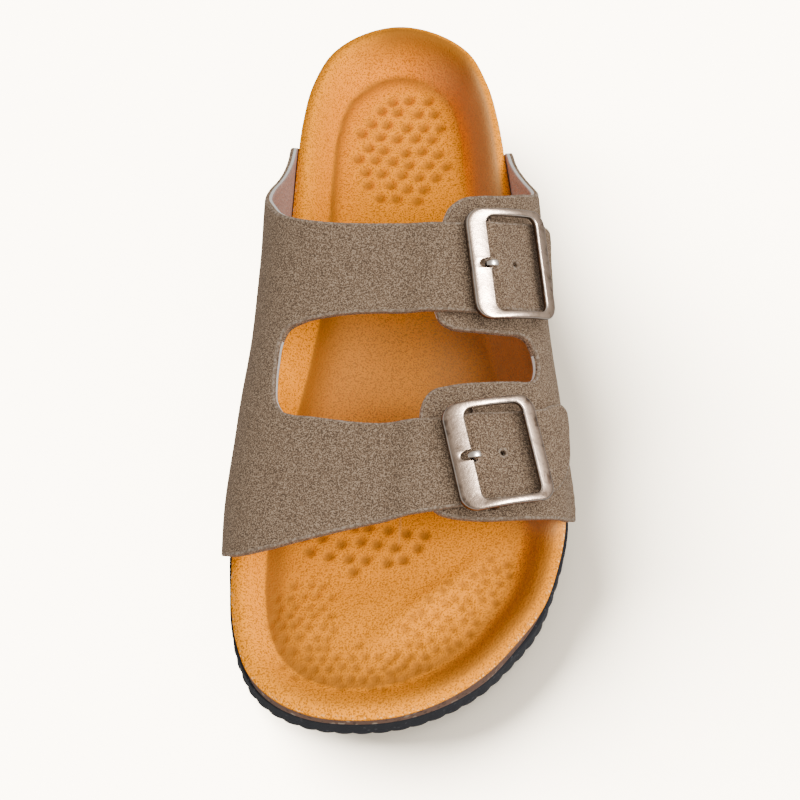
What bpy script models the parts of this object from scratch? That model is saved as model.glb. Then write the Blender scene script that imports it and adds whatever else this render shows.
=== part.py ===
"""Two-strap footbed sandal, left shoe, standing empty on its sole.

Frame: +Z up, the toe points to -Y, +X is the outer (lateral) side with the buckles.
The origin lies on the flat underside of the outsole, near the middle of its length.
A station is the distance along the foot from the back of the heel, in millimetres.
Sizes below are millimetres, and the meshes are written in metres.
"""

import math

import bmesh
import bpy
import numpy as np
from mathutils import Vector
from mathutils.geometry import delaunay_2d_cdt

MM = 0.001

# Driving sizes of the footbed and sole
LENGTH = 259.8
MIDDLE_STATION = 131.3
TOE_APEX_X = -14.0
TOE_SPRING = 10.0
SPRING_STATION = 196.0
INSOLE_THICKNESS = 2.0
GAP = 0.35
RIM_LAND = 3.5
RIM_ROUND = 1.3
SPINE_HEEL = 36.0
SPINE_TOE = 224.0
SEGMENTS = 54
CURVE_STEPS = 24
SHARP_ANGLE = 40.0

# Ribs on the side of the outsole
RIB_COLUMNS = 4
RIB_DEPTH = 0.85
RIB_TOP_SHARE = 0.72
RIB_TOP_DEPTH_SHARE = 0.45

# The upper
WALL = 2.6
WALL_FOOT = 9.6
WALL_GAP = 0.4
LAP_GAP = 0.4
LAP_RAMP = 0.10
ARCH_POWER = {-1: 2.6, 1: 2.2}
PATTERN_GIRTH = 95.0
EDGE_STEP = 3.2
GRID_GIRTH = 6.0
GRID_STATION = 8.0
EDGE_CLEAR_SHARE = 0.8
RIDGE_CLEAR_SHARE = 0.7
GIRTH_SAMPLES = 161
ARCH_SAMPLES = 60
FLANK_SAMPLES = 24
FOOT_SAMPLES = 16

# Buckles: along the strap, across it, and the bars
BUCKLE_LENGTH = 30.0
BUCKLE_WIDTH = 32.6
STRAP_HALF_WIDTH = 14.0
WIDE_BAR = 6.2
FAR_BAR = 4.6
SIDE_BAR = 3.0
FRAME_THICKNESS = 2.3
FRAME_BEND_RADIUS = 40.0
FRAME_CLEAR = 0.8
FRAME_EDGE = 0.7
FRAME_UNDER_EDGE = 0.35
FRAME_LOW_SHARE = 0.35
OUTER_CORNER = 5.0
INNER_CORNER = 2.6
NOTCH_DEPTH = 3.0
NOTCH_HALF_WIDTH = 1.9
NOTCH_POINTS = 7
SIDE_BAR_SHARES = (0.2, 0.5, 0.8)
PROBE_MARGIN = 3.0
PROBE_ROWS = 41
PROBE_COLUMNS = 9
AXLE_RADIUS = 0.7
AXLE_ALONG = -2.5
AXLE_LIFT = 1.9
AXLE_SPREAD = 5.4
AXLE_POINTS = 9
AXLE_BEND = 1.0
AXLE_BEND_SHARE = 0.3
RIDGE_SHIFT = -0.8
RIDGE_ROWS = (-12.0, -9.0, -6.0, -3.3, -0.5, 2.5, 5.5)
RIDGE_COLUMNS = 6
PRONG_HOLE_ALONG = -6.5
PRONG_HOLE_RADIUS = 1.9
SPARE_HOLE_ALONG = 2.5
SPARE_HOLE_RADIUS = 0.8
PRONG_RADIUS = 0.7
PRONG_CROWN = 0.9
PRONG_CROWN_START = 0.15
PRONG_SHARES = (0.25, 0.6, 1.0)
PRONG_RISE = 0.4
PRONG_DIP_SHARE = 0.55
PRONG_TIP_SHARE = 0.6
WIRE_SIDES = 8
WIRE_START = (0.3, 0.5, 0.8)

# Half widths of the footbed either side of the middle line
OUTLINE = [
    # station, medial, lateral
    (5.0, 15.6, 16.2),
    (12.0, 23.6, 24.3),
    (27.0, 30.7, 31.0),
    (45.0, 34.2, 34.7),
    (62.0, 35.6, 36.6),
    (82.0, 36.6, 38.8),
    (110.0, 38.6, 42.6),
    (140.0, 43.2, 46.8),
    (170.0, 48.6, 50.2),
    (197.0, 51.7, 51.4),
    (211.0, 51.5, 48.4),
    (224.0, 50.9, 43.5),
    (236.5, 48.6, 34.2),
    (245.8, 44.7, 25.2),
    (253.4, 37.2, 13.6),
    (258.2, 26.8, 1.2),
]

# Outsole: how far it stands out past the footbed, how far the cork is set back, its flare and thickness
SOLE_EDGE = [
    # station, medial, lateral, setback, flare, thickness
    (0.0, 0.5, 0.5, 0.6, 0.0, 9.0),
    (40.0, 1.8, 1.8, 0.5, 0.0, 9.0),
    (70.0, 2.8, 2.8, 0.5, 0.0, 9.0),
    (185.0, 2.8, 2.6, 0.5, 0.0, 9.0),
    (208.0, 2.0, 0.2, 0.6, 0.1, 8.7),
    (225.0, 1.2, -0.7, 1.1, 0.3, 8.0),
    (243.0, -0.2, -0.9, 1.6, 0.5, 7.2),
    (259.8, -0.8, -0.8, 1.8, 0.5, 7.0),
]

# Heights of the footbed, and the width of the slope from its rim to its floor
FOOTBED = [
    # station, floor, rim, slope_medial, slope_lateral
    (0.0, 29.0, 44.0, 13.0, 13.0),
    (40.0, 27.0, 43.0, 14.0, 15.5),
    (80.0, 25.0, 39.0, 13.0, 15.5),
    (120.0, 21.0, 33.0, 13.0, 17.0),
    (145.0, 19.0, 29.0, 13.0, 16.0),
    (180.0, 17.0, 26.0, 13.0, 16.0),
    (210.0, 17.0, 25.0, 12.0, 15.0),
    (235.0, 18.2, 24.4, 12.0, 13.0),
    (259.8, 20.2, 23.6, 12.0, 12.0),
]

# Raised forms of the footbed floor
FLOOR_FORMS = [
    # height, across, station, spread_across, spread_along, slant
    (4.0, -27.0, 104.0, 12.0, 26.0, 0.0),
    (2.0, -2.0, 158.0, 13.0, 13.0, 0.0),
    (1.4, -5.0, 222.0, 32.0, 8.0, 0.22),
]

# Sections of the last under the straps: crest, sideways bulge of each flank, widest height
LAST = [
    # station, rim, crest, crest_x, bulge_medial, bulge_lateral, widest
    (40.0, 43.0, 96.0, -2.0, 0.2, 0.2, 58.0),
    (65.0, 41.0, 95.0, -2.0, 1.0, 0.8, 58.0),
    (80.0, 39.0, 94.0, -3.0, 2.5, 1.8, 57.0),
    (100.0, 36.0, 91.0, -4.0, 3.3, 1.6, 55.0),
    (120.0, 33.0, 82.0, -5.0, 2.2, -0.8, 48.0),
    (145.0, 29.0, 71.0, -6.0, 0.4, -1.8, 40.0),
    (165.0, 27.0, 64.5, -6.5, -0.4, -1.8, 35.5),
    (180.0, 26.0, 60.0, -7.0, -1.0, -2.3, 33.0),
    (210.0, 25.0, 52.0, -8.0, -0.6, -1.5, 29.0),
    (235.0, 25.0, 48.0, -9.0, 0.0, 0.0, 28.0),
]

# Cutting patterns: girth is the share of the half girth from crest (0) to sole (-1 medial, 1 lateral)
FRONT_STRAP_FRONT = [
    # girth, station
    (-1.0, 200.0),
    (-0.90, 203.6),
    (-0.79, 207.7),
    (-0.66, 213.2),
    (-0.556, 216.6),
    (-0.43, 217.5),
    (-0.275, 216.0),
    (-0.08, 213.0),
    (0.094, 210.0),
    (0.225, 208.0),
    (0.35, 206.0),
    (0.50, 202.0),
]
FRONT_STRAP_END = [
    (0.56, 199.0),
    (0.598, 196.3),
    (0.625, 192.0),
    (0.645, 185.0),
    (0.648, 177.0),
    (0.644, 171.0),
    (0.632, 168.3),
    (0.605, 167.8),
]
WINDOW_MEDIAL = [
    (0.525, 171.0),
    (0.319, 177.0),
    (0.20, 180.0),
    (0.106, 181.3),
    (0.012, 182.0),
    (-0.131, 181.0),
    (-0.237, 179.3),
    (-0.306, 178.0),
    (-0.345, 176.3),
    (-0.370, 172.5),
    (-0.372, 167.0),
    (-0.363, 160.0),
    (-0.350, 154.5),
    (-0.325, 151.3),
    (-0.269, 150.0),
    (-0.169, 149.3),
    (-0.031, 148.8),
    (0.094, 148.7),
    (0.181, 148.3),
    (0.325, 146.8),
    (0.44, 143.3),
]
REAR_STRAP_END = [
    (0.50, 140.3),
    (0.545, 137.0),
    (0.572, 132.5),
    (0.583, 126.0),
    (0.582, 116.5),
    (0.574, 111.7),
    (0.552, 109.4),
    (0.505, 110.7),
]
REAR_EDGE_MEDIAL = [
    (0.438, 113.5),
    (0.288, 120.0),
    (0.163, 122.3),
    (0.05, 123.0),
    (-0.062, 123.0),
    (-0.162, 122.0),
    (-0.256, 119.0),
    (-0.356, 112.5),
    (-0.40, 107.5),
    (-0.475, 99.5),
    (-0.556, 89.0),
    (-0.625, 79.0),
    (-0.688, 65.0),
    (-0.719, 55.5),
    (-0.775, 51.5),
    (-0.856, 50.3),
    (-1.0, 50.0),
]
REAR_EDGE_LATERAL = [
    (1.0, 54.0),
    (0.856, 54.2),
    (0.775, 55.3),
    (0.719, 58.5),
    (0.694, 66.0),
    (0.638, 79.0),
    (0.581, 88.5),
    (0.506, 98.0),
    (0.469, 101.5),
    (0.41, 105.5),
    (0.34, 109.5),
    (0.269, 112.0),
    (0.219, 114.0),
    (0.188, 117.0),
]
TABS_LATERAL = [
    (0.175, 120.5),
    (0.164, 127.0),
    (0.160, 135.0),
    (0.163, 143.0),
    (0.171, 148.0),
    (0.188, 151.0),
    (0.213, 152.3),
    (0.306, 152.3),
    (0.406, 151.0),
    (0.455, 150.0),
    (0.487, 150.4),
    (0.512, 153.3),
    (0.525, 158.5),
    (0.513, 162.3),
    (0.482, 164.2),
    (0.45, 165.0),
    (0.35, 167.3),
    (0.225, 170.0),
    (0.169, 172.0),
    (0.146, 175.0),
    (0.137, 180.0),
    (0.141, 188.0),
    (0.156, 197.0),
    (0.178, 204.0),
    (0.200, 207.0),
    (0.230, 208.5),
]
FRONT_EDGE_LATERAL = [
    (0.275, 209.2),
    (0.363, 209.2),
    (0.50, 207.0),
    (0.656, 202.8),
    (0.75, 199.3),
    (0.85, 194.8),
    (1.0, 187.5),
]

# Where each buckle sits on its strap, and the strap's course there
BUCKLES = {
    # name: girth, station, course in girth, course in station, girth where the tab ends
    "rear": (0.364, 131.0, 0.20, -6.4, 0.155),
    "front": (0.374, 190.2, 0.262, -7.4, 0.130),
}
STRAP_SPLIT_STATION = 160.0

# Plain finishes of the solids
FINISHES = {
    # name: red, green, blue, roughness, metallic
    "suede": (0.26, 0.17, 0.11, 0.95, 0.0),
    "footbed": (0.62, 0.27, 0.07, 0.8, 0.0),
    "cork": (0.11, 0.07, 0.05, 0.9, 0.0),
    "rubber": (0.02, 0.021, 0.026, 0.7, 0.0),
    "nickel": (0.55, 0.52, 0.48, 0.35, 1.0),
}


def smooth_step(value):
    """Eases from 0 to 1 as value goes from 0 to 1."""
    t = np.clip(value, 0.0, 1.0)
    return t * t * (3.0 - 2.0 * t)


def column(table, index, station):
    """Reads one column of a table at a station, on a smooth curve through its rows."""
    rows = np.array(table, float)
    xs = rows[:, 0]
    ys = rows[:, index]
    step = np.diff(xs)
    slope = np.diff(ys) / step
    tangent = np.empty_like(ys)
    tangent[1:-1] = (slope[:-1] * step[1:] + slope[1:] * step[:-1]) / (step[:-1] + step[1:])
    tangent[0] = slope[0]
    tangent[-1] = slope[-1]
    x = np.asarray(station, float)
    i = np.clip(np.searchsorted(xs, x) - 1, 0, len(xs) - 2)
    t = np.clip((x - xs[i]) / step[i], 0.0, 1.0)
    start = (1 + 2 * t) * (1 - t) ** 2 * ys[i] + t * (1 - t) ** 2 * step[i] * tangent[i]
    end = t * t * (3 - 2 * t) * ys[i + 1] + t * t * (t - 1) * step[i] * tangent[i + 1]
    return start + end


def smooth_path(points, closed):
    """A smooth curve through points, with spans weighted by their length."""
    pts = np.array(points, float)
    count = len(pts)
    spans = count if closed else count - 1
    after = np.roll(pts, -1, axis=0)
    before = np.roll(pts, 1, axis=0)
    ahead = np.linalg.norm(after - pts, axis=1)[:, None]
    behind = np.linalg.norm(pts - before, axis=1)[:, None]
    tangent = ((after - pts) / ahead * behind + (pts - before) / behind * ahead) / (ahead + behind)
    if not closed:
        tangent[0] = (pts[1] - pts[0]) / ahead[0]
        tangent[-1] = (pts[-1] - pts[-2]) / behind[-1]
    t = (np.arange(CURVE_STEPS) / CURVE_STEPS)[:, None]
    pieces = []
    for i in range(spans):
        j = (i + 1) % count
        reach = ahead[i]
        start = (1 + 2 * t) * (1 - t) ** 2 * pts[i] + t * (1 - t) ** 2 * reach * tangent[i]
        end = t * t * (3 - 2 * t) * pts[j] + t * t * (t - 1) * reach * tangent[j]
        pieces.append(start + end)
    pieces.append(pts[:1] if closed else pts[-1:])
    return np.concatenate(pieces)


def by_length(path, count):
    """count + 1 points spaced evenly along a path."""
    run = np.concatenate([[0.0], np.cumsum(np.linalg.norm(np.diff(path, axis=0), axis=1))])
    at = np.linspace(0.0, run[-1], count + 1)
    return np.stack([np.interp(at, run, path[:, i]) for i in range(path.shape[1])], axis=-1)


def footbed_sides():
    """Both sides of the footbed outline from heel apex to toe apex, as (across, station)."""
    lateral = [(row[2], row[0]) for row in OUTLINE]
    medial = [(-row[1], row[0]) for row in reversed(OUTLINE)]
    loop = [(0.0, 0.0)] + lateral + [(TOE_APEX_X, LENGTH)] + medial
    path = smooth_path(loop, closed=True)
    toe = (len(lateral) + 1) * CURVE_STEPS
    return {1: path[: toe + 1], -1: path[toe:][::-1]}


SIDES = footbed_sides()


def half_width(side, station):
    """Half width of the footbed on one side."""
    path = SIDES[side]
    return side * np.interp(station, path[:, 1], path[:, 0])


def side_points(side, offset, count, extra=0.0):
    """Points along one side, moved outwards by offset(station) and extra, as (across, station)."""
    path = by_length(SIDES[side], count)
    along = np.gradient(path, axis=0)
    along /= np.linalg.norm(along, axis=1)[:, None]
    out = np.stack([along[:, 1], -along[:, 0]], axis=-1) * side
    out[0] = (0.0, -1.0)
    out[-1] = (0.0, 1.0)
    moved = offset(path[:, 1]) + extra
    return path + out * moved[:, None]


def spine_points(count):
    """The middle line that the rings of the sole close onto."""
    station = np.linspace(SPINE_HEEL, SPINE_TOE, count + 1)
    across = 0.5 * (half_width(1, station) - half_width(-1, station))
    return np.stack([across, station], axis=-1)


def spring(station):
    """Rise of the underside towards the toe."""
    run = np.maximum(0.0, np.asarray(station, float) - SPRING_STATION) / (LENGTH - SPRING_STATION)
    return TOE_SPRING * run**2


def floor_height(across, station):
    """Height of the footbed floor with its raised forms."""
    height = column(FOOTBED, 1, station)
    for rise, x, s, wide, far, slant in FLOOR_FORMS:
        along = station - s + slant * (across - x)
        height = height + rise * np.exp(-(((across - x) / wide) ** 2) - (along / far) ** 2)
    return height


def footbed_height(across, station, inward, rim_station, side):
    """Height of the footbed cover a distance inward from its rim."""
    rim = column(FOOTBED, 2, rim_station)
    reach = column(FOOTBED, 4 if side > 0 else 3, rim_station)
    fall = smooth_step((inward - RIM_LAND) / (reach - RIM_LAND))
    edge = RIM_ROUND * np.clip(1.0 - inward / RIM_LAND, 0.0, 1.0) ** 2
    return rim + (floor_height(across, station) - rim) * fall - edge


class RingMesh:
    """A mesh laid out in rings from the sole's outline to its middle line."""

    def __init__(self):
        self.points = []
        self.faces = []

    def add(self, points):
        """Adds points and returns their indices."""
        start = len(self.points)
        self.points.extend(tuple(map(float, p)) for p in points)
        return list(range(start, len(self.points)))

    def ring(self, halves):
        """Adds a closed ring from its lateral and medial halves, which share both apexes."""
        return self.add(np.concatenate([halves[1], halves[-1][-2:0:-1]]))

    def middle(self, line):
        """Adds the middle line and returns it as a closed ring that runs out and back."""
        index = self.add(line)
        return index + index[-2:0:-1]

    def strip(self, outer, inner):
        """Joins two rings of equal count, dropping sides that have no length."""
        count = len(outer)
        for i in range(count):
            j = (i + 1) % count
            corners = [outer[i], outer[j], inner[j], inner[i]]
            face = [c for n, c in enumerate(corners) if c != corners[n - 1]]
            if len(face) > 2:
                self.faces.append(face)

    def fan(self, fine, coarse):
        """Joins a ring to another with a whole number of times fewer points."""
        ratio = len(fine) // len(coarse)
        for i in range(len(coarse)):
            j = (i + 1) % len(coarse)
            span = [fine[(i * ratio + n) % len(fine)] for n in range(ratio + 1)]
            half = ratio // 2
            for n in range(ratio):
                self.faces.append([span[n], span[n + 1], coarse[i] if n < half else coarse[j]])
            self.faces.append([coarse[i], span[half], coarse[j]])


def material(name):
    """A plain finish for one kind of piece."""
    *colour, roughness, metallic = FINISHES[name]
    made = bpy.data.materials.new(name)
    made.use_nodes = True
    shader = made.node_tree.nodes["Principled BSDF"]
    shader.inputs["Base Color"].default_value = (*colour, 1.0)
    shader.inputs["Roughness"].default_value = roughness
    shader.inputs["Metallic"].default_value = metallic
    made.diffuse_color = (*colour, 1.0)
    return made


def add_piece(name, points, faces, finish):
    """Makes one closed object from points in millimetres, faces turned outwards."""
    mesh = bpy.data.meshes.new(name)
    mesh.from_pydata([tuple(c * MM for c in p) for p in points], [], faces)
    shape = bmesh.new()
    shape.from_mesh(mesh)
    bmesh.ops.triangulate(shape, faces=[f for f in shape.faces if len(f.verts) > 3])
    bmesh.ops.recalc_face_normals(shape, faces=shape.faces)
    shape.to_mesh(mesh)
    shape.free()
    mesh.shade_smooth()
    mesh.set_sharp_from_angle(angle=math.radians(SHARP_ANGLE))
    mesh.materials.append(finish)
    piece = bpy.data.objects.new(name, mesh)
    bpy.context.scene.collection.objects.link(piece)
    return piece


def in_frame(plan, height):
    """Turns (across, station) and heights into X, Y, Z."""
    return np.column_stack([plan[:, 0], MIDDLE_STATION - plan[:, 1], height])


CORK_RINGS = [0.0, 3.5, 8.0, 12.5, 17.0]
COVER_RINGS = [0.0, 1.5] + CORK_RINGS[1:]
MIDDLE_SHARE = 0.5


def inward_ring(distance, share=0.0):
    """Plan points of both sides, moved inward by a distance and a share of what is left."""
    spine = spine_points(SEGMENTS)
    halves = {}
    for side in (1, -1):
        rim = side_points(side, np.zeros_like, SEGMENTS)
        to_spine = spine - rim
        reach = np.linalg.norm(to_spine, axis=1)
        moved = distance + (reach - distance) * share
        halves[side] = (rim + to_spine * (moved / reach)[:, None], moved, rim[:, 1], side)
    return halves


def cover_height(plan, inward, rim_station, side):
    """Height of the footbed cover's upper face."""
    return footbed_height(plan[:, 0], plan[:, 1], inward, rim_station, side)


def under_height(plan, inward, rim_station, side):
    """Height of the footbed cover's underside, flat below the rounded rim."""
    level = np.maximum(inward, RIM_LAND)
    return footbed_height(plan[:, 0], plan[:, 1], level, rim_station, side) - INSOLE_THICKNESS


def cork_height(plan, inward, rim_station, side):
    """Height of the cork under the cover."""
    return under_height(plan, inward, rim_station, side) - GAP


def sole_height(station, share):
    """Height inside the outsole, from its underside at 0 to its upper face at 1."""
    return spring(station) + column(SOLE_EDGE, 5, station) * share


def lay_ring(body, halves, height):
    """Adds one ring at the heights that a height function gives."""
    return body.ring({side: in_frame(half[0], height(*half)) for side, half in halves.items()})


def lay_surface(body, first, distances, height, drop):
    """Adds the rings of one face of the sole from its edge to its middle line."""
    rings = [first] if first else []
    for distance in distances:
        rings.append(lay_ring(body, inward_ring(distance), height))
    rings.append(lay_ring(body, inward_ring(distances[-1], MIDDLE_SHARE), height))
    plan = spine_points(SEGMENTS)
    rings.append(body.middle(in_frame(plan, floor_height(plan[:, 0], plan[:, 1]) - drop)))
    for outer, inner in zip(rings, rings[1:]):
        body.strip(outer, inner)
    return rings[0]


def build_insole(finish):
    """The suede cover that lines the cork from rim to rim."""
    body = RingMesh()
    upper_rim = lay_surface(body, None, COVER_RINGS, cover_height, 0.0)
    lower_rim = lay_surface(body, None, CORK_RINGS, under_height, INSOLE_THICKNESS)
    body.strip(upper_rim, lower_rim)
    return add_piece("insole", body.points, body.faces, finish)


def build_midsole(finish):
    """The moulded cork body under the cover."""
    body = RingMesh()
    rim = inward_ring(0.0)
    edge = {s: side_points(s, lambda at: -column(SOLE_EDGE, 3, at), SEGMENTS) for s in (1, -1)}
    brim = body.ring({s: in_frame(edge[s], cork_height(*rim[s])) for s in (1, -1)})
    lay_surface(body, brim, CORK_RINGS[1:], cork_height, INSOLE_THICKNESS + GAP)
    foot = body.ring({s: in_frame(edge[s], sole_height(edge[s][:, 1], 1.0) + GAP) for s in (1, -1)})
    inner = lay_ring(body, inward_ring(CORK_RINGS[-1]), lambda plan, *_: sole_height(plan[:, 1], 1.0) + GAP)
    plan = spine_points(SEGMENTS)
    middle = body.middle(in_frame(plan, sole_height(plan[:, 1], 1.0) + GAP))
    body.strip(brim, foot)
    body.strip(foot, inner)
    body.strip(inner, middle)
    return add_piece("midsole", body.points, body.faces, finish)


def sole_ring(body, share, ribbed, depth):
    """One ring of the outsole's side, with a round lobe and a sharp valley in each rib."""
    count = SEGMENTS * (RIB_COLUMNS if ribbed else 1)
    lobes = np.abs(np.sin(np.pi * np.arange(count + 1) / RIB_COLUMNS)) if ribbed else 1.0
    halves = {}
    for side in (1, -1):
        stand = 2 if side > 0 else 1
        plan = side_points(
            side,
            lambda s, c=stand: column(SOLE_EDGE, c, s) + column(SOLE_EDGE, 4, s) * (1 - share),
            count,
            depth * (lobes - 1.0),
        )
        halves[side] = in_frame(plan, sole_height(plan[:, 1], share))
    return body.ring(halves)


def build_outsole(finish):
    """The rubber sheet with toe spring and a ribbed side."""
    body = RingMesh()
    plan = spine_points(SEGMENTS)
    top_edge = sole_ring(body, 1.0, False, 0.0)
    rib_top = sole_ring(body, RIB_TOP_SHARE, True, RIB_DEPTH * RIB_TOP_DEPTH_SHARE)
    rib_foot = sole_ring(body, 0.0, True, RIB_DEPTH)
    body.fan(rib_top, top_edge)
    body.strip(rib_top, rib_foot)
    for outer, share in ((top_edge, 1.0), (rib_foot, 0.0)):
        inner = lay_ring(body, inward_ring(CORK_RINGS[-1]), lambda p, *_, h=share: sole_height(p[:, 1], h))
        join = body.strip if share else body.fan
        join(outer, inner)
        body.strip(inner, body.middle(in_frame(plan, sole_height(plan[:, 1], share))))
    return add_piece("outsole", body.points, body.faces, finish)


class Last:
    """The foot form under the straps, addressed by girth share and station."""

    def __init__(self):
        self.stations = np.arange(LAST[0][0], LAST[-1][0] + 1.0, 1.0)
        self.shares = np.linspace(-1.0, 1.0, GIRTH_SAMPLES)
        half = len(self.shares) // 2
        grid = np.zeros((len(self.stations), len(self.shares), 3))
        self.girths = np.zeros((len(self.stations), 2))
        for i, station in enumerate(self.stations):
            outer, self.girths[i, 1] = self.half_section(station, 1, half + 1)
            inner, self.girths[i, 0] = self.half_section(station, -1, half + 1)
            grid[i, half:, 0] = outer[:, 0]
            grid[i, half:, 2] = outer[:, 1]
            grid[i, : half + 1, 0] = inner[::-1, 0]
            grid[i, : half + 1, 2] = inner[::-1, 1]
            grid[i, :, 1] = MIDDLE_STATION - station
        self.grid = grid
        across = np.gradient(grid, axis=1)
        along = np.gradient(grid, axis=0)
        normal = np.cross(across, -along)
        self.normals = normal / np.linalg.norm(normal, axis=2)[:, :, None]

    @staticmethod
    def half_section(station, side, count):
        """One half of a section, from the crest down to the sole, and its girth."""
        base = half_width(side, station) + WALL_GAP
        rim, crest, crest_x = (column(LAST, i, station) for i in (1, 2, 3))
        bulge = column(LAST, 5 if side > 0 else 4, station)
        widest = column(LAST, 6, station)
        power = 2.0 / ARCH_POWER[side]
        turn = np.linspace(math.pi / 2, 0.0, ARCH_SAMPLES)
        reach = base + bulge - side * crest_x
        arch_x = side * crest_x + reach * np.cos(turn) ** power
        arch_z = widest + (crest - widest) * np.sin(turn) ** power
        flank_z = np.linspace(widest, rim, FLANK_SAMPLES)[1:]
        flank_x = base + bulge * np.sin(math.pi / 2 * (flank_z - rim) / (widest - rim))
        foot_z = np.linspace(rim, WALL_FOOT, FOOT_SAMPLES)[1:]
        section = np.column_stack(
            [
                side * np.concatenate([arch_x, flank_x, np.full_like(foot_z, base)]),
                np.concatenate([arch_z, flank_z, foot_z]),
            ]
        )
        girth = np.linalg.norm(np.diff(section, axis=0), axis=1).sum()
        return by_length(section, count - 1), girth

    def sample(self, values, girth, station):
        """Reads a grid of values between its points."""
        i = np.clip((np.asarray(station) - self.stations[0]), 0, len(self.stations) - 1.001)
        j = np.clip((np.asarray(girth) + 1) / 2 * (len(self.shares) - 1), 0, len(self.shares) - 1.001)
        a = i.astype(int)
        b = j.astype(int)
        f = (i - a)[..., None]
        g = (j - b)[..., None]
        low = values[a, b] * (1 - g) + values[a, b + 1] * g
        high = values[a + 1, b] * (1 - g) + values[a + 1, b + 1] * g
        return low * (1 - f) + high * f

    def point(self, girth, station, height):
        """A point a height off the last."""
        normal = self.sample(self.normals, girth, station)
        normal = normal / np.linalg.norm(normal, axis=-1)[..., None]
        return self.sample(self.grid, girth, station) + normal * np.asarray(height)[..., None]

    def half_girth(self, station):
        """Girth of the lateral half at a station, in millimetres."""
        return float(np.interp(station, self.stations, self.girths[:, 1]))


FOOT = Last()


class BucklePlace:
    """The place of one buckle on its strap: along the strap, across it, and off its face."""

    def __init__(self, name):
        girth, station, turn, drop, self.tab_end = BUCKLES[name]
        self.centre = (girth, station)
        self.girth_mm = FOOT.half_girth(station)
        course = np.array([turn * self.girth_mm, drop])
        self.course = course / np.linalg.norm(course)

    def pattern(self, along, across):
        """Girth share and station of a place on the strap."""
        x = along * self.course[0] - across * self.course[1]
        y = along * self.course[1] + across * self.course[0]
        return self.centre[0] + x / self.girth_mm, self.centre[1] + y

    def along(self, girth, station):
        """Distance along the strap from the buckle's middle."""
        x = (girth - self.centre[0]) * self.girth_mm
        return x * self.course[0] + (station - self.centre[1]) * self.course[1]

    def lap(self, girth, station):
        """How far the strap's inner face stands off the last, over the tab and the axle."""
        over = smooth_step((girth - self.tab_end + LAP_RAMP) / LAP_RAMP)
        ridge = np.exp(-(((self.along(girth, station) - AXLE_ALONG - RIDGE_SHIFT) / AXLE_SPREAD) ** 2))
        return (WALL + LAP_GAP) * over + AXLE_LIFT * ridge * over

    def strap_point(self, along, across, height):
        """A point a height off the strap's outer face."""
        girth, station = self.pattern(np.asarray(along, float), np.asarray(across, float))
        return FOOT.point(girth, station, self.lap(girth, station) + WALL + height)

    def under_strap(self, along, across, height):
        """A point a height off the tab's outer face, under the strap."""
        girth, station = self.pattern(np.asarray(along, float), np.asarray(across, float))
        return FOOT.point(girth, station, np.full_like(girth, WALL + height))


PLACES = {name: BucklePlace(name) for name in BUCKLES}


def strap_lap(girth, station):
    """Lap of the strap piece at any place of its pattern."""
    rear = PLACES["rear"].lap(girth, station)
    front = PLACES["front"].lap(girth, station)
    return np.where(station < STRAP_SPLIT_STATION, rear, front)


def no_lap(girth, station):
    """The lateral piece lies on the last all over."""
    return np.zeros_like(girth)


def inside(loop, points):
    """Which points lie inside a closed loop."""
    x, y = points[:, 0], points[:, 1]
    result = np.zeros(len(points), bool)
    for (x1, y1), (x2, y2) in zip(loop, np.roll(loop, -1, axis=0)):
        if y1 == y2:
            continue
        crosses = (y1 > y) != (y2 > y)
        result ^= crosses & (x < (x2 - x1) * (y - y1) / (y2 - y1) + x1)
    return result


def pattern_loop(sole_from, sole_to, edge):
    """A closed cutting pattern in millimetres: the sole line, then the free edge."""
    scale = np.array([PATTERN_GIRTH, 1.0])
    sole = np.array([sole_from, sole_to], float) * scale
    free = smooth_path(np.array(edge) * scale, closed=False)
    parts = []
    for path in (sole, free):
        length = np.linalg.norm(np.diff(path, axis=0), axis=1).sum()
        parts.append(by_length(path, max(1, round(length / EDGE_STEP)))[:-1])
    return np.concatenate(parts)


def hole_loop(place, along, radius, count=8):
    """A round hole in a strap, in pattern millimetres."""
    turn = np.arange(count) / count * 2 * math.pi
    girth, station = place.pattern(along + radius * np.cos(turn), radius * np.sin(turn))
    return np.column_stack([girth * PATTERN_GIRTH, station])


def ridge_points(place):
    """Rows of pattern points along the ridge that the axle raises in a strap."""
    along, across = np.meshgrid(RIDGE_ROWS, np.linspace(-STRAP_HALF_WIDTH, STRAP_HALF_WIDTH, RIDGE_COLUMNS))
    girth, station = place.pattern(along.ravel(), across.ravel())
    return np.column_stack([girth * PATTERN_GIRTH, station])


def pattern_faces(loop, holes, ridges):
    """Triangles that fill a pattern, with points on an even grid and along its ridges."""
    low, high = loop.min(axis=0), loop.max(axis=0)
    xs = np.arange(low[0], high[0], GRID_GIRTH)
    ys = np.arange(low[1], high[1], GRID_STATION)
    grid = np.array([(x + (n % 2) * GRID_GIRTH / 2, y) for n, y in enumerate(ys) for x in xs])
    for ridge in ridges:
        apart = np.linalg.norm(grid[:, None] - ridge[None], axis=2).min(axis=1)
        grid = np.concatenate([grid[apart > GRID_GIRTH * RIDGE_CLEAR_SHARE], ridge])
    rims = [loop] + holes
    edge = np.concatenate(rims)
    apart = np.linalg.norm(grid[:, None] - edge[None], axis=2).min(axis=1)
    grid = grid[inside(loop, grid) & (apart > EDGE_STEP * EDGE_CLEAR_SHARE)]
    for hole in holes:
        grid = grid[~inside(hole, grid)]
    points = np.concatenate([edge, grid])
    edges = []
    start = 0
    for rim in rims:
        count = len(rim)
        edges += [(start + i, start + (i + 1) % count) for i in range(count)]
        start += count
    made = delaunay_2d_cdt([Vector(p) for p in points], edges, [], 0, 1e-6)
    faces = np.array(made[2])
    middle = points[faces].mean(axis=1)
    keep = inside(loop, middle)
    for hole in holes:
        keep &= ~inside(hole, middle)
    return points, faces[keep], edges


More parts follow.
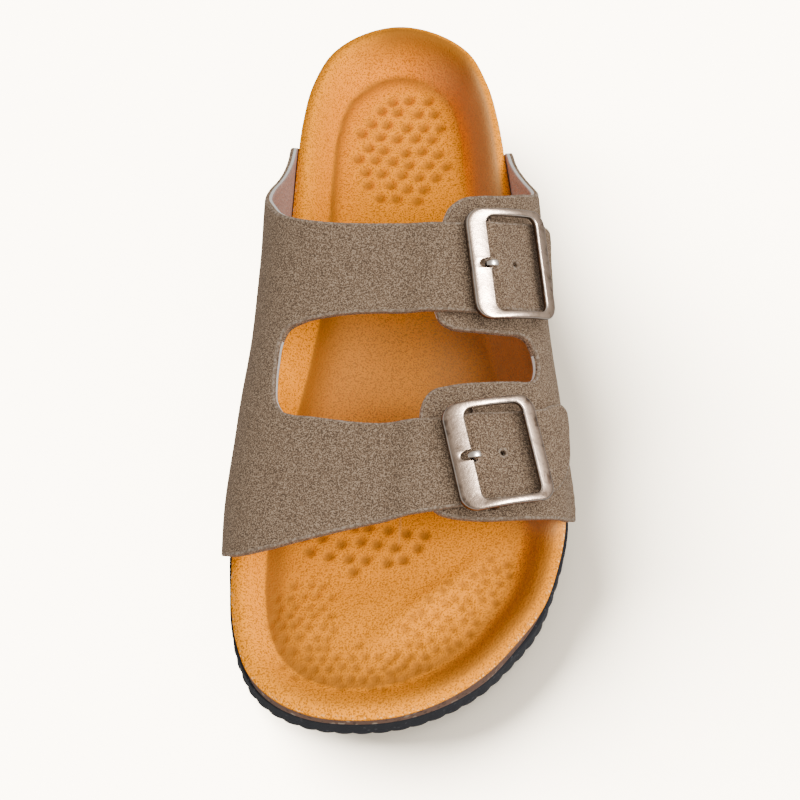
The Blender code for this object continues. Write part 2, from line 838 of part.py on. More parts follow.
def build_upper(name, loop, holes, ridges, lap, finish):
    """One half of the upper: a hollow wall cut to its pattern and shaped on the last."""
    pattern, faces, edges = pattern_faces(loop, holes, ridges)
    girth, station = pattern[:, 0] / PATTERN_GIRTH, pattern[:, 1]
    lift = lap(girth, station)
    inner = FOOT.point(girth, station, lift)
    outer = FOOT.point(girth, station, lift + WALL)
    count = len(pattern)
    solid = [tuple(f) for f in faces] + [tuple(f[::-1] + count) for f in faces]
    solid += [(a, b, b + count, a + count) for a, b in edges]
    return add_piece(name, np.concatenate([inner, outer]), solid, finish)


def rounded_corner(centre, radius, start, count=4):
    """Points of a quarter turn, counted from a starting angle."""
    turn = start + np.linspace(0.0, math.pi / 2, count)
    return [(centre[0] + radius * math.cos(t), centre[1] + radius * math.sin(t)) for t in turn]


def frame_loops():
    """Outer and inner outline of a buckle frame with matching points, as (along, across)."""
    half_long = BUCKLE_LENGTH / 2
    half_wide = BUCKLE_WIDTH / 2
    far = half_long - FAR_BAR
    near = half_long - WIDE_BAR
    side = half_wide - SIDE_BAR
    outer = []
    inner = []
    quarters = [(1, 1, 0.0), (-1, 1, math.pi / 2), (-1, -1, math.pi), (1, -1, math.pi * 1.5)]
    for sign_a, sign_b, start in quarters:
        end = far if sign_a > 0 else near
        centre = (sign_a * (half_long - OUTER_CORNER), sign_b * (half_wide - OUTER_CORNER))
        outer += rounded_corner(centre, OUTER_CORNER, start)
        centre = (sign_a * (end - INNER_CORNER), sign_b * (side - INNER_CORNER))
        inner += rounded_corner(centre, INNER_CORNER, start)
        if (sign_a, sign_b) == (1, 1) or (sign_a, sign_b) == (-1, -1):
            for share in SIDE_BAR_SHARES:
                down = share if sign_b > 0 else 1.0 - share
                outer_run = BUCKLE_LENGTH - 2 * OUTER_CORNER
                outer.append((half_long - OUTER_CORNER - down * outer_run, half_wide * sign_b))
                inner_run = far + near - 2 * INNER_CORNER
                inner.append((far - INNER_CORNER - down * inner_run, side * sign_b))
        if (sign_a, sign_b) == (-1, 1):
            for turn in np.linspace(0.0, math.pi, NOTCH_POINTS):
                across = NOTCH_HALF_WIDTH * math.cos(turn)
                outer.append((-half_long, across))
                inner.append((-near - NOTCH_DEPTH * math.sin(turn), across))
    return np.array(outer), np.array(inner)


def toward(start, end, distance):
    """Points moved from one loop towards the other."""
    step = end - start
    return start + step / np.linalg.norm(step, axis=1)[:, None] * distance


class RigidFrame:
    """Axes of a rigid buckle frame laid on its strap, lifted until its bars are clear."""

    def __init__(self, place):
        half = BUCKLE_LENGTH / 2
        along, across = np.meshgrid(
            np.linspace(-half - PROBE_MARGIN, half + PROBE_MARGIN, PROBE_ROWS),
            np.linspace(-STRAP_HALF_WIDTH, STRAP_HALF_WIDTH, PROBE_COLUMNS),
        )
        strap = place.strap_point(along.ravel(), across.ravel(), np.zeros(along.size))
        near = strap[(along.ravel() < WIDE_BAR - half) & (along.ravel() > -half)]
        far = strap[(along.ravel() > half - FAR_BAR) & (along.ravel() < half)]
        bars = np.concatenate([near, far])
        off = np.linalg.svd(bars - bars.mean(axis=0))[2][2]
        off = off if off[2] > 0 else -off
        course = far.mean(axis=0) - near.mean(axis=0)
        course = course - off * np.dot(course, off)
        course = course / np.linalg.norm(course)
        self.axes = np.stack([course, np.cross(off, course), off])
        middle = (near.mean(axis=0) + far.mean(axis=0)) / 2
        self.origin = middle - course * (WIDE_BAR - FAR_BAR) / 4
        seen = self.local(strap)
        under = (seen[:, 0] < WIDE_BAR - half + GAP) | (seen[:, 0] > half - FAR_BAR - GAP)
        height = seen[under, 2] + seen[under, 0] ** 2 / (2 * FRAME_BEND_RADIUS)
        self.origin = self.origin + off * (height.max() + FRAME_CLEAR)

    def local(self, points):
        """Points in the frame's own axes."""
        return (points - self.origin) @ self.axes.T

    def world(self, along, across, height):
        """Points from the frame's own axes, bent to its radius along the strap."""
        bent = height - along**2 / (2 * FRAME_BEND_RADIUS)
        return self.origin + np.stack([along, across, bent], axis=-1) @ self.axes


def build_frame(name, place, finish):
    """One buckle frame: a ring with round edges, a wide bar and its notch."""
    outer, inner = frame_loops()
    rigid = RigidFrame(place)
    low = FRAME_LOW_SHARE * FRAME_THICKNESS
    rings = [
        (toward(outer, inner, FRAME_UNDER_EDGE), 0.0),
        (outer, low),
        (outer, 2 * low),
        (toward(outer, inner, FRAME_EDGE), FRAME_THICKNESS),
        (toward(inner, outer, FRAME_EDGE), FRAME_THICKNESS),
        (inner, 2 * low),
        (inner, low),
        (toward(inner, outer, FRAME_UNDER_EDGE), 0.0),
    ]
    points = [rigid.world(loop[:, 0], loop[:, 1], np.full(len(loop), h)) for loop, h in rings]
    count = len(outer)
    faces = []
    for r in range(len(rings)):
        nxt = (r + 1) % len(rings)
        for i in range(count):
            j = (i + 1) % count
            faces.append((r * count + i, r * count + j, nxt * count + j, nxt * count + i))
    return add_piece(name, np.concatenate(points), faces, finish)


def build_wire(name, path, radius, finish):
    """A round wire along a path, closed at both ends."""
    path = np.array(path, float)
    along = np.gradient(path, axis=0)
    along /= np.linalg.norm(along, axis=1)[:, None]
    across = np.cross(along[0], WIRE_START)
    sides = WIRE_SIDES
    points = []
    for place, direction in zip(path, along):
        across = across - direction * np.dot(across, direction)
        across = across / np.linalg.norm(across)
        up = np.cross(direction, across)
        for n in range(sides):
            turn = 2 * math.pi * n / sides
            points.append(place + radius * (math.cos(turn) * across + math.sin(turn) * up))
    faces = [tuple(range(sides)), tuple(range(len(points) - sides, len(points)))]
    for i in range(len(path) - 1):
        for n in range(sides):
            m = (n + 1) % sides
            faces.append((i * sides + n, i * sides + m, (i + 1) * sides + m, (i + 1) * sides + n))
    return add_piece(name, points, faces, finish)


def build_axle(name, place, finish):
    """The bar under the strap that carries the prong, with a leg up to each side of the frame."""
    rigid = RigidFrame(place)
    reach = BUCKLE_WIDTH / 2 - AXLE_RADIUS
    height = (LAP_GAP + AXLE_LIFT) / 2
    across = np.linspace(-reach, reach, AXLE_POINTS)
    bar = place.under_strap(np.full_like(across, AXLE_ALONG), across, height)
    tops = []
    for end in (bar[0], bar[-1]):
        along, side, _ = rigid.local(end)
        tops.append(rigid.world(np.array(along), np.array(side), np.array(-GAP)))
    path = [tops[0]]
    for top, end, neighbour in ((tops[0], bar[0], bar[1]), (tops[1], bar[-1], bar[-2])):
        up = (top - end) / np.linalg.norm(top - end)
        inward = (neighbour - end) / np.linalg.norm(neighbour - end)
        corner = end + (up + inward) * AXLE_BEND * AXLE_BEND_SHARE
        turn = [end + up * AXLE_BEND, corner, end + inward * AXLE_BEND]
        path += turn if top is tops[0] else turn[::-1]
        if top is tops[0]:
            path += list(bar[1:-1])
    path.append(tops[1])
    return build_wire(name, path, AXLE_RADIUS, finish)


def build_prong(name, place, finish):
    """The tongue from its axle up through the strap and into the notch of the wide bar."""
    rigid = RigidFrame(place)
    beside_axle = AXLE_ALONG - AXLE_RADIUS - GAP
    height = (LAP_GAP + AXLE_LIFT) / 2
    hole = PRONG_HOLE_ALONG
    notch = -(BUCKLE_LENGTH / 2 - WIDE_BAR) - NOTCH_DEPTH + PRONG_RADIUS + GAP
    tip = rigid.world(np.array(notch), np.array(0.0), np.array(FRAME_THICKNESS * PRONG_TIP_SHARE))
    rise = place.strap_point(hole - PRONG_RISE, 0.0, PRONG_RISE)
    path = [
        place.under_strap(beside_axle, 0.0, height),
        place.under_strap((beside_axle + hole) / 2, 0.0, height),
        place.strap_point(hole + PRONG_RISE, 0.0, -PRONG_DIP_SHARE * WALL),
        rise,
    ]
    crown = rigid.axes[2] * PRONG_CROWN
    for share in PRONG_SHARES:
        swell = math.sin(math.pi * (PRONG_CROWN_START + (1.0 - PRONG_CROWN_START) * share))
        path.append(rise + (tip - rise) * share + crown * swell)
    return build_wire(name, path, PRONG_RADIUS, finish)


def main():
    """Clears the scene and builds every piece."""
    for old in list(bpy.data.objects):
        bpy.data.objects.remove(old)
    finish = {name: material(name) for name in FINISHES}
    build_outsole(finish["rubber"])
    build_midsole(finish["cork"])
    build_insole(finish["footbed"])
    medial_edge = FRONT_STRAP_FRONT + FRONT_STRAP_END + WINDOW_MEDIAL + REAR_STRAP_END + REAR_EDGE_MEDIAL
    medial = pattern_loop(medial_edge[-1], medial_edge[0], medial_edge)
    holes = []
    for place in PLACES.values():
        holes.append(hole_loop(place, PRONG_HOLE_ALONG, PRONG_HOLE_RADIUS))
        holes.append(hole_loop(place, SPARE_HOLE_ALONG, SPARE_HOLE_RADIUS))
    ridges = [ridge_points(place) for place in PLACES.values()]
    build_upper("upper_medial", medial, holes, ridges, strap_lap, finish["suede"])
    lateral_edge = REAR_EDGE_LATERAL + TABS_LATERAL + FRONT_EDGE_LATERAL
    lateral = pattern_loop(lateral_edge[-1], lateral_edge[0], lateral_edge)
    build_upper("upper_lateral", lateral, [], [], no_lap, finish["suede"])
    for name, place in PLACES.items():
        build_frame(f"buckle_frame_{name}", place, finish["nickel"])
        build_axle(f"buckle_axle_{name}", place, finish["nickel"])
        build_prong(f"buckle_prong_{name}", place, finish["nickel"])


main()
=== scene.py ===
"""Looks of the two-strap footbed sandal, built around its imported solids.

Sizes are millimetres in the tables and classes, and metres in the meshes. A station is the
distance along the foot from the back of the heel. The toe points to -Y and +X is the outer side.
"""

import logging
import math
from dataclasses import dataclass, field
from enum import Enum
from typing import Callable, Sequence

import bmesh
import bpy
import numpy as np
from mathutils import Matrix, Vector
from mathutils.geometry import delaunay_2d_cdt


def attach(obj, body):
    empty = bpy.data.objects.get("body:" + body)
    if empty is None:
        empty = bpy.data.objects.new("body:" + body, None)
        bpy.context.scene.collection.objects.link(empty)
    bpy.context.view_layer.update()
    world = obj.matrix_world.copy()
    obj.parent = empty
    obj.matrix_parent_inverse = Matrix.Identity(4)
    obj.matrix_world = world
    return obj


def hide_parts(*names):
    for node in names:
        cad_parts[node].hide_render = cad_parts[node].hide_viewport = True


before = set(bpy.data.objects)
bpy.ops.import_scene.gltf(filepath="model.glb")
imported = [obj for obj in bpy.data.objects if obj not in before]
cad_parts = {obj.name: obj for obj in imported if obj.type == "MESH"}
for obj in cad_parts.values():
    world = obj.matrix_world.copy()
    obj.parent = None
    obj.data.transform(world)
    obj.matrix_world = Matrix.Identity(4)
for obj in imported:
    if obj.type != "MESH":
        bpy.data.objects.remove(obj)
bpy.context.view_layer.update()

LOG = logging.getLogger("sandal")
Array = np.ndarray
Socket = bpy.types.NodeSocket
Row = tuple[float, ...]

MM = 0.001
BODY = "root"

# Half widths of the footbed either side of the middle line
OUTLINE: list[Row] = [
    # station, medial, lateral
    (5.0, 15.6, 16.2),
    (12.0, 23.6, 24.3),
    (27.0, 30.7, 31.0),
    (45.0, 34.2, 34.7),
    (62.0, 35.6, 36.6),
    (82.0, 36.6, 38.8),
    (110.0, 38.6, 42.6),
    (140.0, 43.2, 46.8),
    (170.0, 48.6, 50.2),
    (197.0, 51.7, 51.4),
    (211.0, 51.5, 48.4),
    (224.0, 50.9, 43.5),
    (236.5, 48.6, 34.2),
    (245.8, 44.7, 25.2),
    (253.4, 37.2, 13.6),
    (258.2, 26.8, 1.2),
]

# Outsole: how far it stands out past the footbed, how far the cork is set back, its flare and thickness
SOLE_EDGE: list[Row] = [
    # station, medial, lateral, setback, flare, thickness
    (0.0, 0.5, 0.5, 0.6, 0.0, 9.0),
    (40.0, 1.8, 1.8, 0.5, 0.0, 9.0),
    (70.0, 2.8, 2.8, 0.5, 0.0, 9.0),
    (185.0, 2.8, 2.6, 0.5, 0.0, 9.0),
    (208.0, 2.0, 0.2, 1.2, 0.1, 8.7),
    (225.0, 1.2, -0.7, 1.7, 0.3, 8.0),
    (243.0, -0.2, -0.9, 1.0, 0.5, 7.2),
    (259.8, -0.8, -0.8, 0.6, 0.5, 7.0),
]

# Heights of the footbed, the width of the slope from its rim to its floor, and how keen the medial crease is
FOOTBED: list[Row] = [
    # station, floor, rim, slope_medial, slope_lateral, crease
    (0.0, 29.0, 44.9, 11.3, 11.3, 1.0),
    (40.0, 27.0, 43.0, 14.0, 15.5, 1.0),
    (80.0, 25.0, 39.0, 13.0, 15.5, 1.0),
    (120.0, 21.0, 33.0, 13.0, 17.0, 1.0),
    (145.0, 19.0, 29.0, 13.0, 16.0, 1.0),
    (180.0, 17.0, 26.0, 13.0, 16.0, 1.0),
    (210.0, 17.0, 25.0, 12.0, 15.0, 1.0),
    (235.0, 18.2, 24.4, 12.0, 13.0, 0.8),
    (259.8, 20.2, 23.6, 12.0, 12.0, 0.5),
]

# Raised and hollowed forms of the footbed floor
FLOOR_FORMS: list[Row] = [
    # height, across, station, spread_across, spread_along, slant
    (4.0, -27.0, 104.0, 12.0, 26.0, 0.0),
    (2.0, -2.0, 158.0, 13.0, 13.0, 0.0),
    (1.4, -5.0, 222.0, 32.0, 8.0, 0.22),
    (1.3, 9.0, 219.0, 20.0, 4.0, 0.80),
    (-1.1, 1.0, 43.0, 14.0, 23.0, 0.0),
]

# Fields of pressed dimples in the footbed
DIMPLE_FIELDS: list[Row] = [
    # across, station, half_across, half_along, turn in degrees, pitch, radius, depth
    (1.0, 44.0, 16.5, 27.0, 6.0, 6.5, 2.25, 1.15),
    (-13.0, 199.0, 24.0, 10.0, 6.0, 6.0, 1.95, 0.8),
    (-30.0, 225.0, 10.5, 13.5, 0.0, 4.2, 1.45, 0.45),
    (-13.0, 242.0, 22.0, 7.5, 0.0, 4.2, 1.45, 0.42),
    (15.0, 225.0, 27.0, 8.5, -47.0, 4.3, 1.5, 0.48),
]

# Sections of the last under the straps: crest, sideways bulge of each flank, widest height
LAST: list[Row] = [
    # station, rim, crest, crest_x, bulge_medial, bulge_lateral, widest
    (40.0, 43.0, 96.0, -2.0, 0.2, 0.2, 58.0),
    (65.0, 41.0, 95.0, -2.0, 1.0, 0.8, 58.0),
    (80.0, 39.0, 94.0, -3.0, 2.5, 1.8, 57.0),
    (100.0, 36.0, 91.0, -4.0, 3.3, 1.6, 55.0),
    (120.0, 33.0, 82.0, -5.0, 2.2, -0.8, 48.0),
    (145.0, 29.0, 71.0, -6.0, 0.4, -1.8, 40.0),
    (165.0, 27.0, 64.5, -6.5, -0.4, -1.8, 35.5),
    (180.0, 26.0, 60.0, -7.0, -1.0, -2.3, 33.0),
    (210.0, 25.0, 52.0, -8.0, -0.6, -1.5, 29.0),
    (235.0, 25.0, 48.0, -9.0, 0.0, 0.0, 28.0),
]

# Cutting patterns: girth is the share of the half girth from crest (0) to sole (-1 medial, 1 lateral)
FRONT_STRAP_FRONT: list[Row] = [
    # girth, station
    (-1.0, 200.0), (-0.90, 203.6), (-0.79, 207.7), (-0.66, 213.2), (-0.556, 216.6), (-0.43, 217.5),
    (-0.275, 216.0), (-0.08, 213.0), (0.094, 210.0), (0.225, 207.6), (0.35, 205.0), (0.50, 201.0),
]
FRONT_STRAP_END: list[Row] = [
    (0.56, 199.0), (0.598, 196.3), (0.625, 192.0), (0.645, 185.0), (0.648, 177.0), (0.644, 171.0),
    (0.632, 168.3), (0.605, 167.8),
]
WINDOW_MEDIAL: list[Row] = [
    (0.525, 172.4), (0.319, 178.4), (0.20, 180.6), (0.106, 181.3), (0.012, 182.0), (-0.131, 181.0),
    (-0.237, 179.3), (-0.306, 178.0), (-0.345, 176.3), (-0.370, 172.5), (-0.372, 167.0),
    (-0.363, 160.0), (-0.350, 154.5), (-0.325, 151.3), (-0.269, 150.0), (-0.169, 149.3),
    (-0.031, 148.8), (0.094, 148.7), (0.181, 148.3), (0.325, 146.8), (0.44, 143.3),
]
REAR_STRAP_END: list[Row] = [
    (0.50, 140.3), (0.545, 137.0), (0.572, 132.5), (0.583, 126.0), (0.582, 116.5), (0.574, 111.7),
    (0.552, 109.4), (0.505, 110.7),
]
REAR_EDGE_MEDIAL: list[Row] = [
    (0.438, 114.2), (0.288, 120.4), (0.163, 122.5), (0.05, 123.0), (-0.062, 123.0), (-0.162, 122.0),
    (-0.256, 119.0), (-0.356, 112.5), (-0.40, 107.5), (-0.475, 99.5), (-0.556, 89.0),
    (-0.625, 79.0), (-0.688, 65.0), (-0.719, 55.5), (-0.775, 51.5), (-0.856, 50.3), (-1.0, 50.0),
]
REAR_EDGE_LATERAL: list[Row] = [
    (1.0, 54.0), (0.856, 54.2), (0.775, 55.3), (0.719, 58.5), (0.694, 66.0), (0.638, 79.0),
    (0.581, 88.5), (0.506, 98.0), (0.469, 101.5), (0.41, 105.5), (0.34, 109.5), (0.269, 112.0),
    (0.219, 114.0), (0.188, 117.0),
]
TABS_LATERAL: list[Row] = [
    (0.175, 120.5), (0.164, 127.0), (0.160, 135.0), (0.163, 143.0), (0.171, 148.0), (0.188, 151.0),
    (0.213, 152.3), (0.306, 152.3), (0.406, 151.0), (0.455, 150.0), (0.487, 150.4), (0.512, 153.3),
    (0.525, 158.5), (0.513, 162.3), (0.482, 164.2), (0.45, 165.0), (0.35, 167.3), (0.225, 170.0),
    (0.169, 172.0), (0.146, 175.0), (0.137, 180.0), (0.141, 188.0), (0.156, 197.0), (0.178, 204.0),
    (0.200, 207.0), (0.230, 208.5),
]
FRONT_EDGE_LATERAL: list[Row] = [
    (0.275, 209.2), (0.363, 209.2), (0.50, 207.0), (0.656, 202.8), (0.75, 199.3), (0.85, 194.8),
    (1.0, 187.5),
]

CURVE_STEPS = 24
# Spacing of the rows of a staggered grid, as a share of its pitch
ROW_PITCH = 0.866
# Power that turns a round section into a rounded square
SQUARE_POWER = 0.6


class Side(Enum):
    """The two sides of the foot, by the sign of X."""

    MEDIAL = -1
    LATERAL = 1


class Strap(Enum):
    """The two straps, each with its buckle."""

    REAR = "rear"
    FRONT = "front"


def smooth_step(value: Array) -> Array:
    """Eases from 0 to 1 as value goes from 0 to 1."""
    t = np.clip(value, 0.0, 1.0)
    return t * t * (3.0 - 2.0 * t)


def ramp(value: Array, start: float, width: float) -> Array:
    """Eases from 0 to 1 as value goes from start over a width."""
    return smooth_step((value - start) / width)


def bell(value: Array | float, middle: float, width: Array | float) -> Array:
    """Falls from 1 at the middle to almost nothing two widths away."""
    return np.exp(-(((value - middle) / width) ** 2))


def squared(turn: Array | float) -> Array:
    """Cosine and sine of a turn round a rounded square."""
    wave = np.stack([np.cos(turn), np.sin(turn)])
    return np.sign(wave) * np.abs(wave) ** SQUARE_POWER


def hermite(t: Array, span: Array, ends: tuple[Array, Array], slopes: tuple[Array, Array]) -> Array:
    """Values on a cubic span.

    Args:
        t: share of the span, from 0 to 1.
        span: its length.
        ends: values at its start and end.
        slopes: slopes at its start and end.

    Returns:
        The values at those shares.
    """
    first = (1 + 2 * t) * (1 - t) ** 2 * ends[0] + t * (1 - t) ** 2 * span * slopes[0]
    second = t * t * (3 - 2 * t) * ends[1] + t * t * (t - 1) * span * slopes[1]
    return first + second


def column(table: Sequence[Row], index: int, station: Array | float) -> Array:
    """Reads one column of a table on a smooth curve through its rows.

    Args:
        table: rows that start with a station.
        index: which column to read.
        station: where to read it.

    Returns:
        The values at those stations.
    """
    rows = np.array(table, float)
    xs, ys = rows[:, 0], rows[:, index]
    step = np.diff(xs)
    slope = np.diff(ys) / step
    tangent = np.empty_like(ys)
    tangent[1:-1] = (slope[:-1] * step[1:] + slope[1:] * step[:-1]) / (step[:-1] + step[1:])
    tangent[0], tangent[-1] = slope[0], slope[-1]
    x = np.asarray(station, float)
    i = np.clip(np.searchsorted(xs, x) - 1, 0, len(xs) - 2)
    t = np.clip((x - xs[i]) / step[i], 0.0, 1.0)
    return hermite(t, step[i], (ys[i], ys[i + 1]), (tangent[i], tangent[i + 1]))


def smooth_path(points: Sequence[Row] | Array, closed: bool) -> Array:
    """A smooth curve through points, with spans weighted by their length.

    Args:
        points: the points, each with two or three coordinates.
        closed: whether the curve returns to its start.

    Returns:
        The curve as an array of points.
    """
    pts = np.array(points, float)
    count = len(pts)
    after, before = np.roll(pts, -1, axis=0), np.roll(pts, 1, axis=0)
    ahead = np.linalg.norm(after - pts, axis=1)[:, None]
    behind = np.linalg.norm(pts - before, axis=1)[:, None]
    tangent = ((after - pts) / ahead * behind + (pts - before) / behind * ahead) / (ahead + behind)
    if not closed:
        tangent[0] = (pts[1] - pts[0]) / ahead[0]
        tangent[-1] = (pts[-1] - pts[-2]) / behind[-1]
    t = (np.arange(CURVE_STEPS) / CURVE_STEPS)[:, None]
    pieces = []
    for i in range(count if closed else count - 1):
        j = (i + 1) % count
        pieces.append(hermite(t, ahead[i], (pts[i], pts[j]), (tangent[i], tangent[j])))
    pieces.append(pts[:1] if closed else pts[-1:])
    return np.concatenate(pieces)


def by_length(path: Array, count: int) -> Array:
    """count + 1 points spaced evenly along a path.

    Args:
        path: the points of the path.
        count: number of steps.

    Returns:
        The new points.
    """
    run = np.concatenate([[0.0], np.cumsum(np.linalg.norm(np.diff(path, axis=0), axis=1))])
    at = np.linspace(0.0, run[-1], count + 1)
    return np.stack([np.interp(at, run, path[:, i]) for i in range(path.shape[1])], axis=-1)


def unit(vectors: Array) -> Array:
    """Vectors scaled to length 1."""
    return vectors / np.linalg.norm(vectors, axis=-1, keepdims=True)


def link_new(name: str, data: bpy.types.ID) -> bpy.types.Object:
    """Puts data into the scene as a new object.

    Args:
        name: name of the object.
        data: its mesh, light or camera.

    Returns:
        The object.
    """
    made = bpy.data.objects.new(name, data)
    bpy.context.scene.collection.objects.link(made)
    return made


@dataclass
class MeshParts:
    """Points, faces, face slots and point values that a mesh is made from."""

    points: list = field(default_factory=list)
    faces: list = field(default_factory=list)
    slots: list = field(default_factory=list)
    values: dict = field(default_factory=dict)

    def count(self) -> int:
        """Number of points so far."""
        return sum(len(p) for p in self.points)

    def add(self, points: Array) -> Array:
        """Adds points and returns their indices.

        Args:
            points: the points, in millimetres.

        Returns:
            Their indices.
        """
        start = self.count()
        self.points.append(np.asarray(points, float))
        return np.arange(start, start + len(points))

    def face(self, corners: Sequence[int], slot: int = 0) -> None:
        """Adds one face in a material slot."""
        self.faces.append([int(c) for c in corners])
        self.slots.append(int(slot))

    def strip(self, outer: Array, inner: Array, slot: int | Array = 0) -> None:
        """Joins two closed rings of equal count, dropping sides that have no length.

        Args:
            outer: indices of one ring.
            inner: indices of the other ring.
            slot: material slot of the new faces, one for all or one each.
        """
        count = len(outer)
        slots = np.broadcast_to(slot, count)
        for i in range(count):
            j = (i + 1) % count
            corners = [outer[i], outer[j], inner[j], inner[i]]
            kept = [c for n, c in enumerate(corners) if c != corners[n - 1]]
            if len(kept) > 2:
                self.face(kept, slots[i])

    def chain(self, rings: Sequence[Array]) -> None:
        """Joins each ring to the next."""
        for outer, inner in zip(rings, rings[1:]):
            self.strip(outer, inner)

    def build(self, name: str, finishes: Sequence[bpy.types.Material], sharp: float = 50.0) -> bpy.types.Object:
        """Makes a smooth-shaded object that rides on the body.

        Args:
            name: name of the piece.
            finishes: one material per slot.
            sharp: edges keener than this angle stay sharp, in degrees.

        Returns:
            The new object.
        """
        mesh = bpy.data.meshes.new(name)
        mesh.from_pydata((np.concatenate(self.points) * MM).tolist(), [], self.faces)
        shape = bmesh.new()
        shape.from_mesh(mesh)
        for face, slot in zip(shape.faces, self.slots):
            face.material_index = slot
        bmesh.ops.recalc_face_normals(shape, faces=shape.faces)
        shape.to_mesh(mesh)
        shape.free()
        for key, values in self.values.items():
            layer = mesh.attributes.new(key, "FLOAT", "POINT")
            layer.data.foreach_set("value", np.asarray(values, np.float32))
        mesh.shade_smooth()
        mesh.set_sharp_from_angle(angle=math.radians(sharp))
        for finish in finishes:
            mesh.materials.append(finish)
        piece = link_new(name, mesh)
        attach(piece, BODY)
        return piece


class SoleForm:
    """The form that footbed, cork and outsole share."""

    LENGTH = 259.8
    MIDDLE_STATION = 131.3
    TOE_APEX_X = -14.0
    TOE_SPRING = 10.0
    SPRING_STATION = 196.0
    SPINE_HEEL = 36.0
    SPINE_TOE = 224.0
    RIM_LAND = 3.5
    RIM_ROUND = 1.3
    UNDER_RINGS = (RIM_LAND, *np.arange(4.0, 17.5, 1.0))

    def __init__(self) -> None:
        """Works out both sides of the outline."""
        lateral = [(row[2], row[0]) for row in OUTLINE]
        medial = [(-row[1], row[0]) for row in reversed(OUTLINE)]
        loop = [(0.0, 0.0)] + lateral + [(self.TOE_APEX_X, self.LENGTH)] + medial
        path = smooth_path(loop, closed=True)
        toe = (len(lateral) + 1) * CURVE_STEPS
        self.sides = {Side.LATERAL: path[: toe + 1], Side.MEDIAL: path[toe:][::-1]}

    def half_width(self, side: Side, station: Array | float) -> Array:
        """Half width of the footbed on one side."""
        path = self.sides[side]
        return side.value * np.interp(station, path[:, 1], path[:, 0])

    def side_points(
        self, side: Side, count: int, offset: Callable[[Array], Array], extra: Array | float = 0.0
    ) -> Array:
        """Points along one side, moved outwards.

        Args:
            side: which side.
            count: number of steps from heel to toe.
            offset: gives the outward move at a station.
            extra: further outward move of each point.

        Returns:
            Points as (across, station).
        """
        path = by_length(self.sides[side], count)
        along = unit(np.gradient(path, axis=0))
        out = np.stack([along[:, 1], -along[:, 0]], axis=-1) * side.value
        out[0], out[-1] = (0.0, -1.0), (0.0, 1.0)
        return path + out * (offset(path[:, 1]) + extra)[:, None]

    def spine(self, count: int) -> Array:
        """The middle line that the rings of the sole close onto.

        Args:
            count: number of steps from heel to toe.

        Returns:
            Points as (across, station).
        """
        station = np.linspace(self.SPINE_HEEL, self.SPINE_TOE, count + 1)
        across = 0.5 * (self.half_width(Side.LATERAL, station) - self.half_width(Side.MEDIAL, station))
        return np.stack([across, station], axis=-1)

    def inward(self, count: int, distance: float, share: float = 0.0) -> dict[Side, tuple]:
        """Both halves of a ring moved inward from the outline.

        Args:
            count: number of steps from heel to toe.
            distance: how far it moves towards the middle line.
            share: share of the rest of the way that it moves too.

        Returns:
            For each side the plan points, their distances inward, the stations of their rim points,
            and how far each of those faces outwards.
        """
        spine = self.spine(count)
        halves = {}
        for side in Side:
            rim = self.side_points(side, count, np.zeros_like)
            to_spine = spine - rim
            reach = np.linalg.norm(to_spine, axis=1)
            moved = distance + (reach - distance) * share
            plan = rim + to_spine * (moved / reach)[:, None]
            halves[side] = (plan, moved, rim[:, 1], -to_spine[:, 0] / reach)
        return halves

    def spring(self, station: Array) -> Array:
        """Rise of the underside towards the toe."""
        run = np.maximum(0.0, station - self.SPRING_STATION) / (self.LENGTH - self.SPRING_STATION)
        return self.TOE_SPRING * run**2

    def floor(self, across: Array, station: Array) -> Array:
        """Height of the footbed floor with its raised forms.

        Args:
            across: places across the foot.
            station: places along it.

        Returns:
            The heights.
        """
        height = column(FOOTBED, 1, station)
        for rise, x, s, wide, far, slant in FLOOR_FORMS:
            along = station - s + slant * (across - x)
            height = height + rise * np.exp(-(((across - x) / wide) ** 2) - (along / far) ** 2)
        return height

    def cover(self, plan: Array, inward: Array, rim_station: Array, side: Side) -> Array:
        """Height of the footbed cover.

        Args:
            plan: points as (across, station).
            inward: their distances from the rim.
            rim_station: stations of the rim points they come from.
            side: which side they lie on.

        Returns:
            The heights.
        """
        rim = column(FOOTBED, 2, rim_station)
        reach = column(FOOTBED, 3 if side is Side.MEDIAL else 4, rim_station)
        soft = 0.0 if side is Side.MEDIAL else 0.6
        keen = column(FOOTBED, 5, rim_station) * (1.0 - soft * ramp(rim_station, 10.0, 60.0))
        t = np.clip((inward - self.RIM_LAND) / (reach - self.RIM_LAND), 0.0, 1.0)
        fall = smooth_step(t) * (1 - keen) + t * t * (2 - t) * keen
        edge = self.RIM_ROUND * np.clip(1.0 - inward / self.RIM_LAND, 0.0, 1.0) ** 2
        return rim + (self.floor(plan[:, 0], plan[:, 1]) - rim) * fall - edge

    def sole_height(self, station: Array, share: float) -> Array:
        """Height inside the outsole, from its underside at 0 to its upper face at 1."""
        return self.spring(station) + column(SOLE_EDGE, 5, station) * share

    def in_frame(self, plan: Array, height: Array | float) -> Array:
        """Turns (across, station) and heights into X, Y, Z."""
        level = np.broadcast_to(height, len(plan))
        return np.column_stack([plan[:, 0], self.MIDDLE_STATION - plan[:, 1], level])

    def sole_points(self, plan: Array, share: float, lift: Array | float = 0.0) -> Array:
        """Plan points at a level of the outsole, with a lift."""
        return self.in_frame(plan, self.sole_height(plan[:, 1], share) + lift)

    def under_cover(self, halves: dict[Side, tuple], drop: float) -> dict[Side, Array]:
        """Lays both halves of a ring at a depth under the footbed cover.

        Args:
            halves: the ring, as inward gives it.
            drop: the depth under the cover's upper face.

        Returns:
            The points of each side.
        """
        return {
            side: self.in_frame(plan, self.cover(plan, np.maximum(moved, self.RIM_LAND), station, side) - drop)
            for side, (plan, moved, station, _) in halves.items()
        }


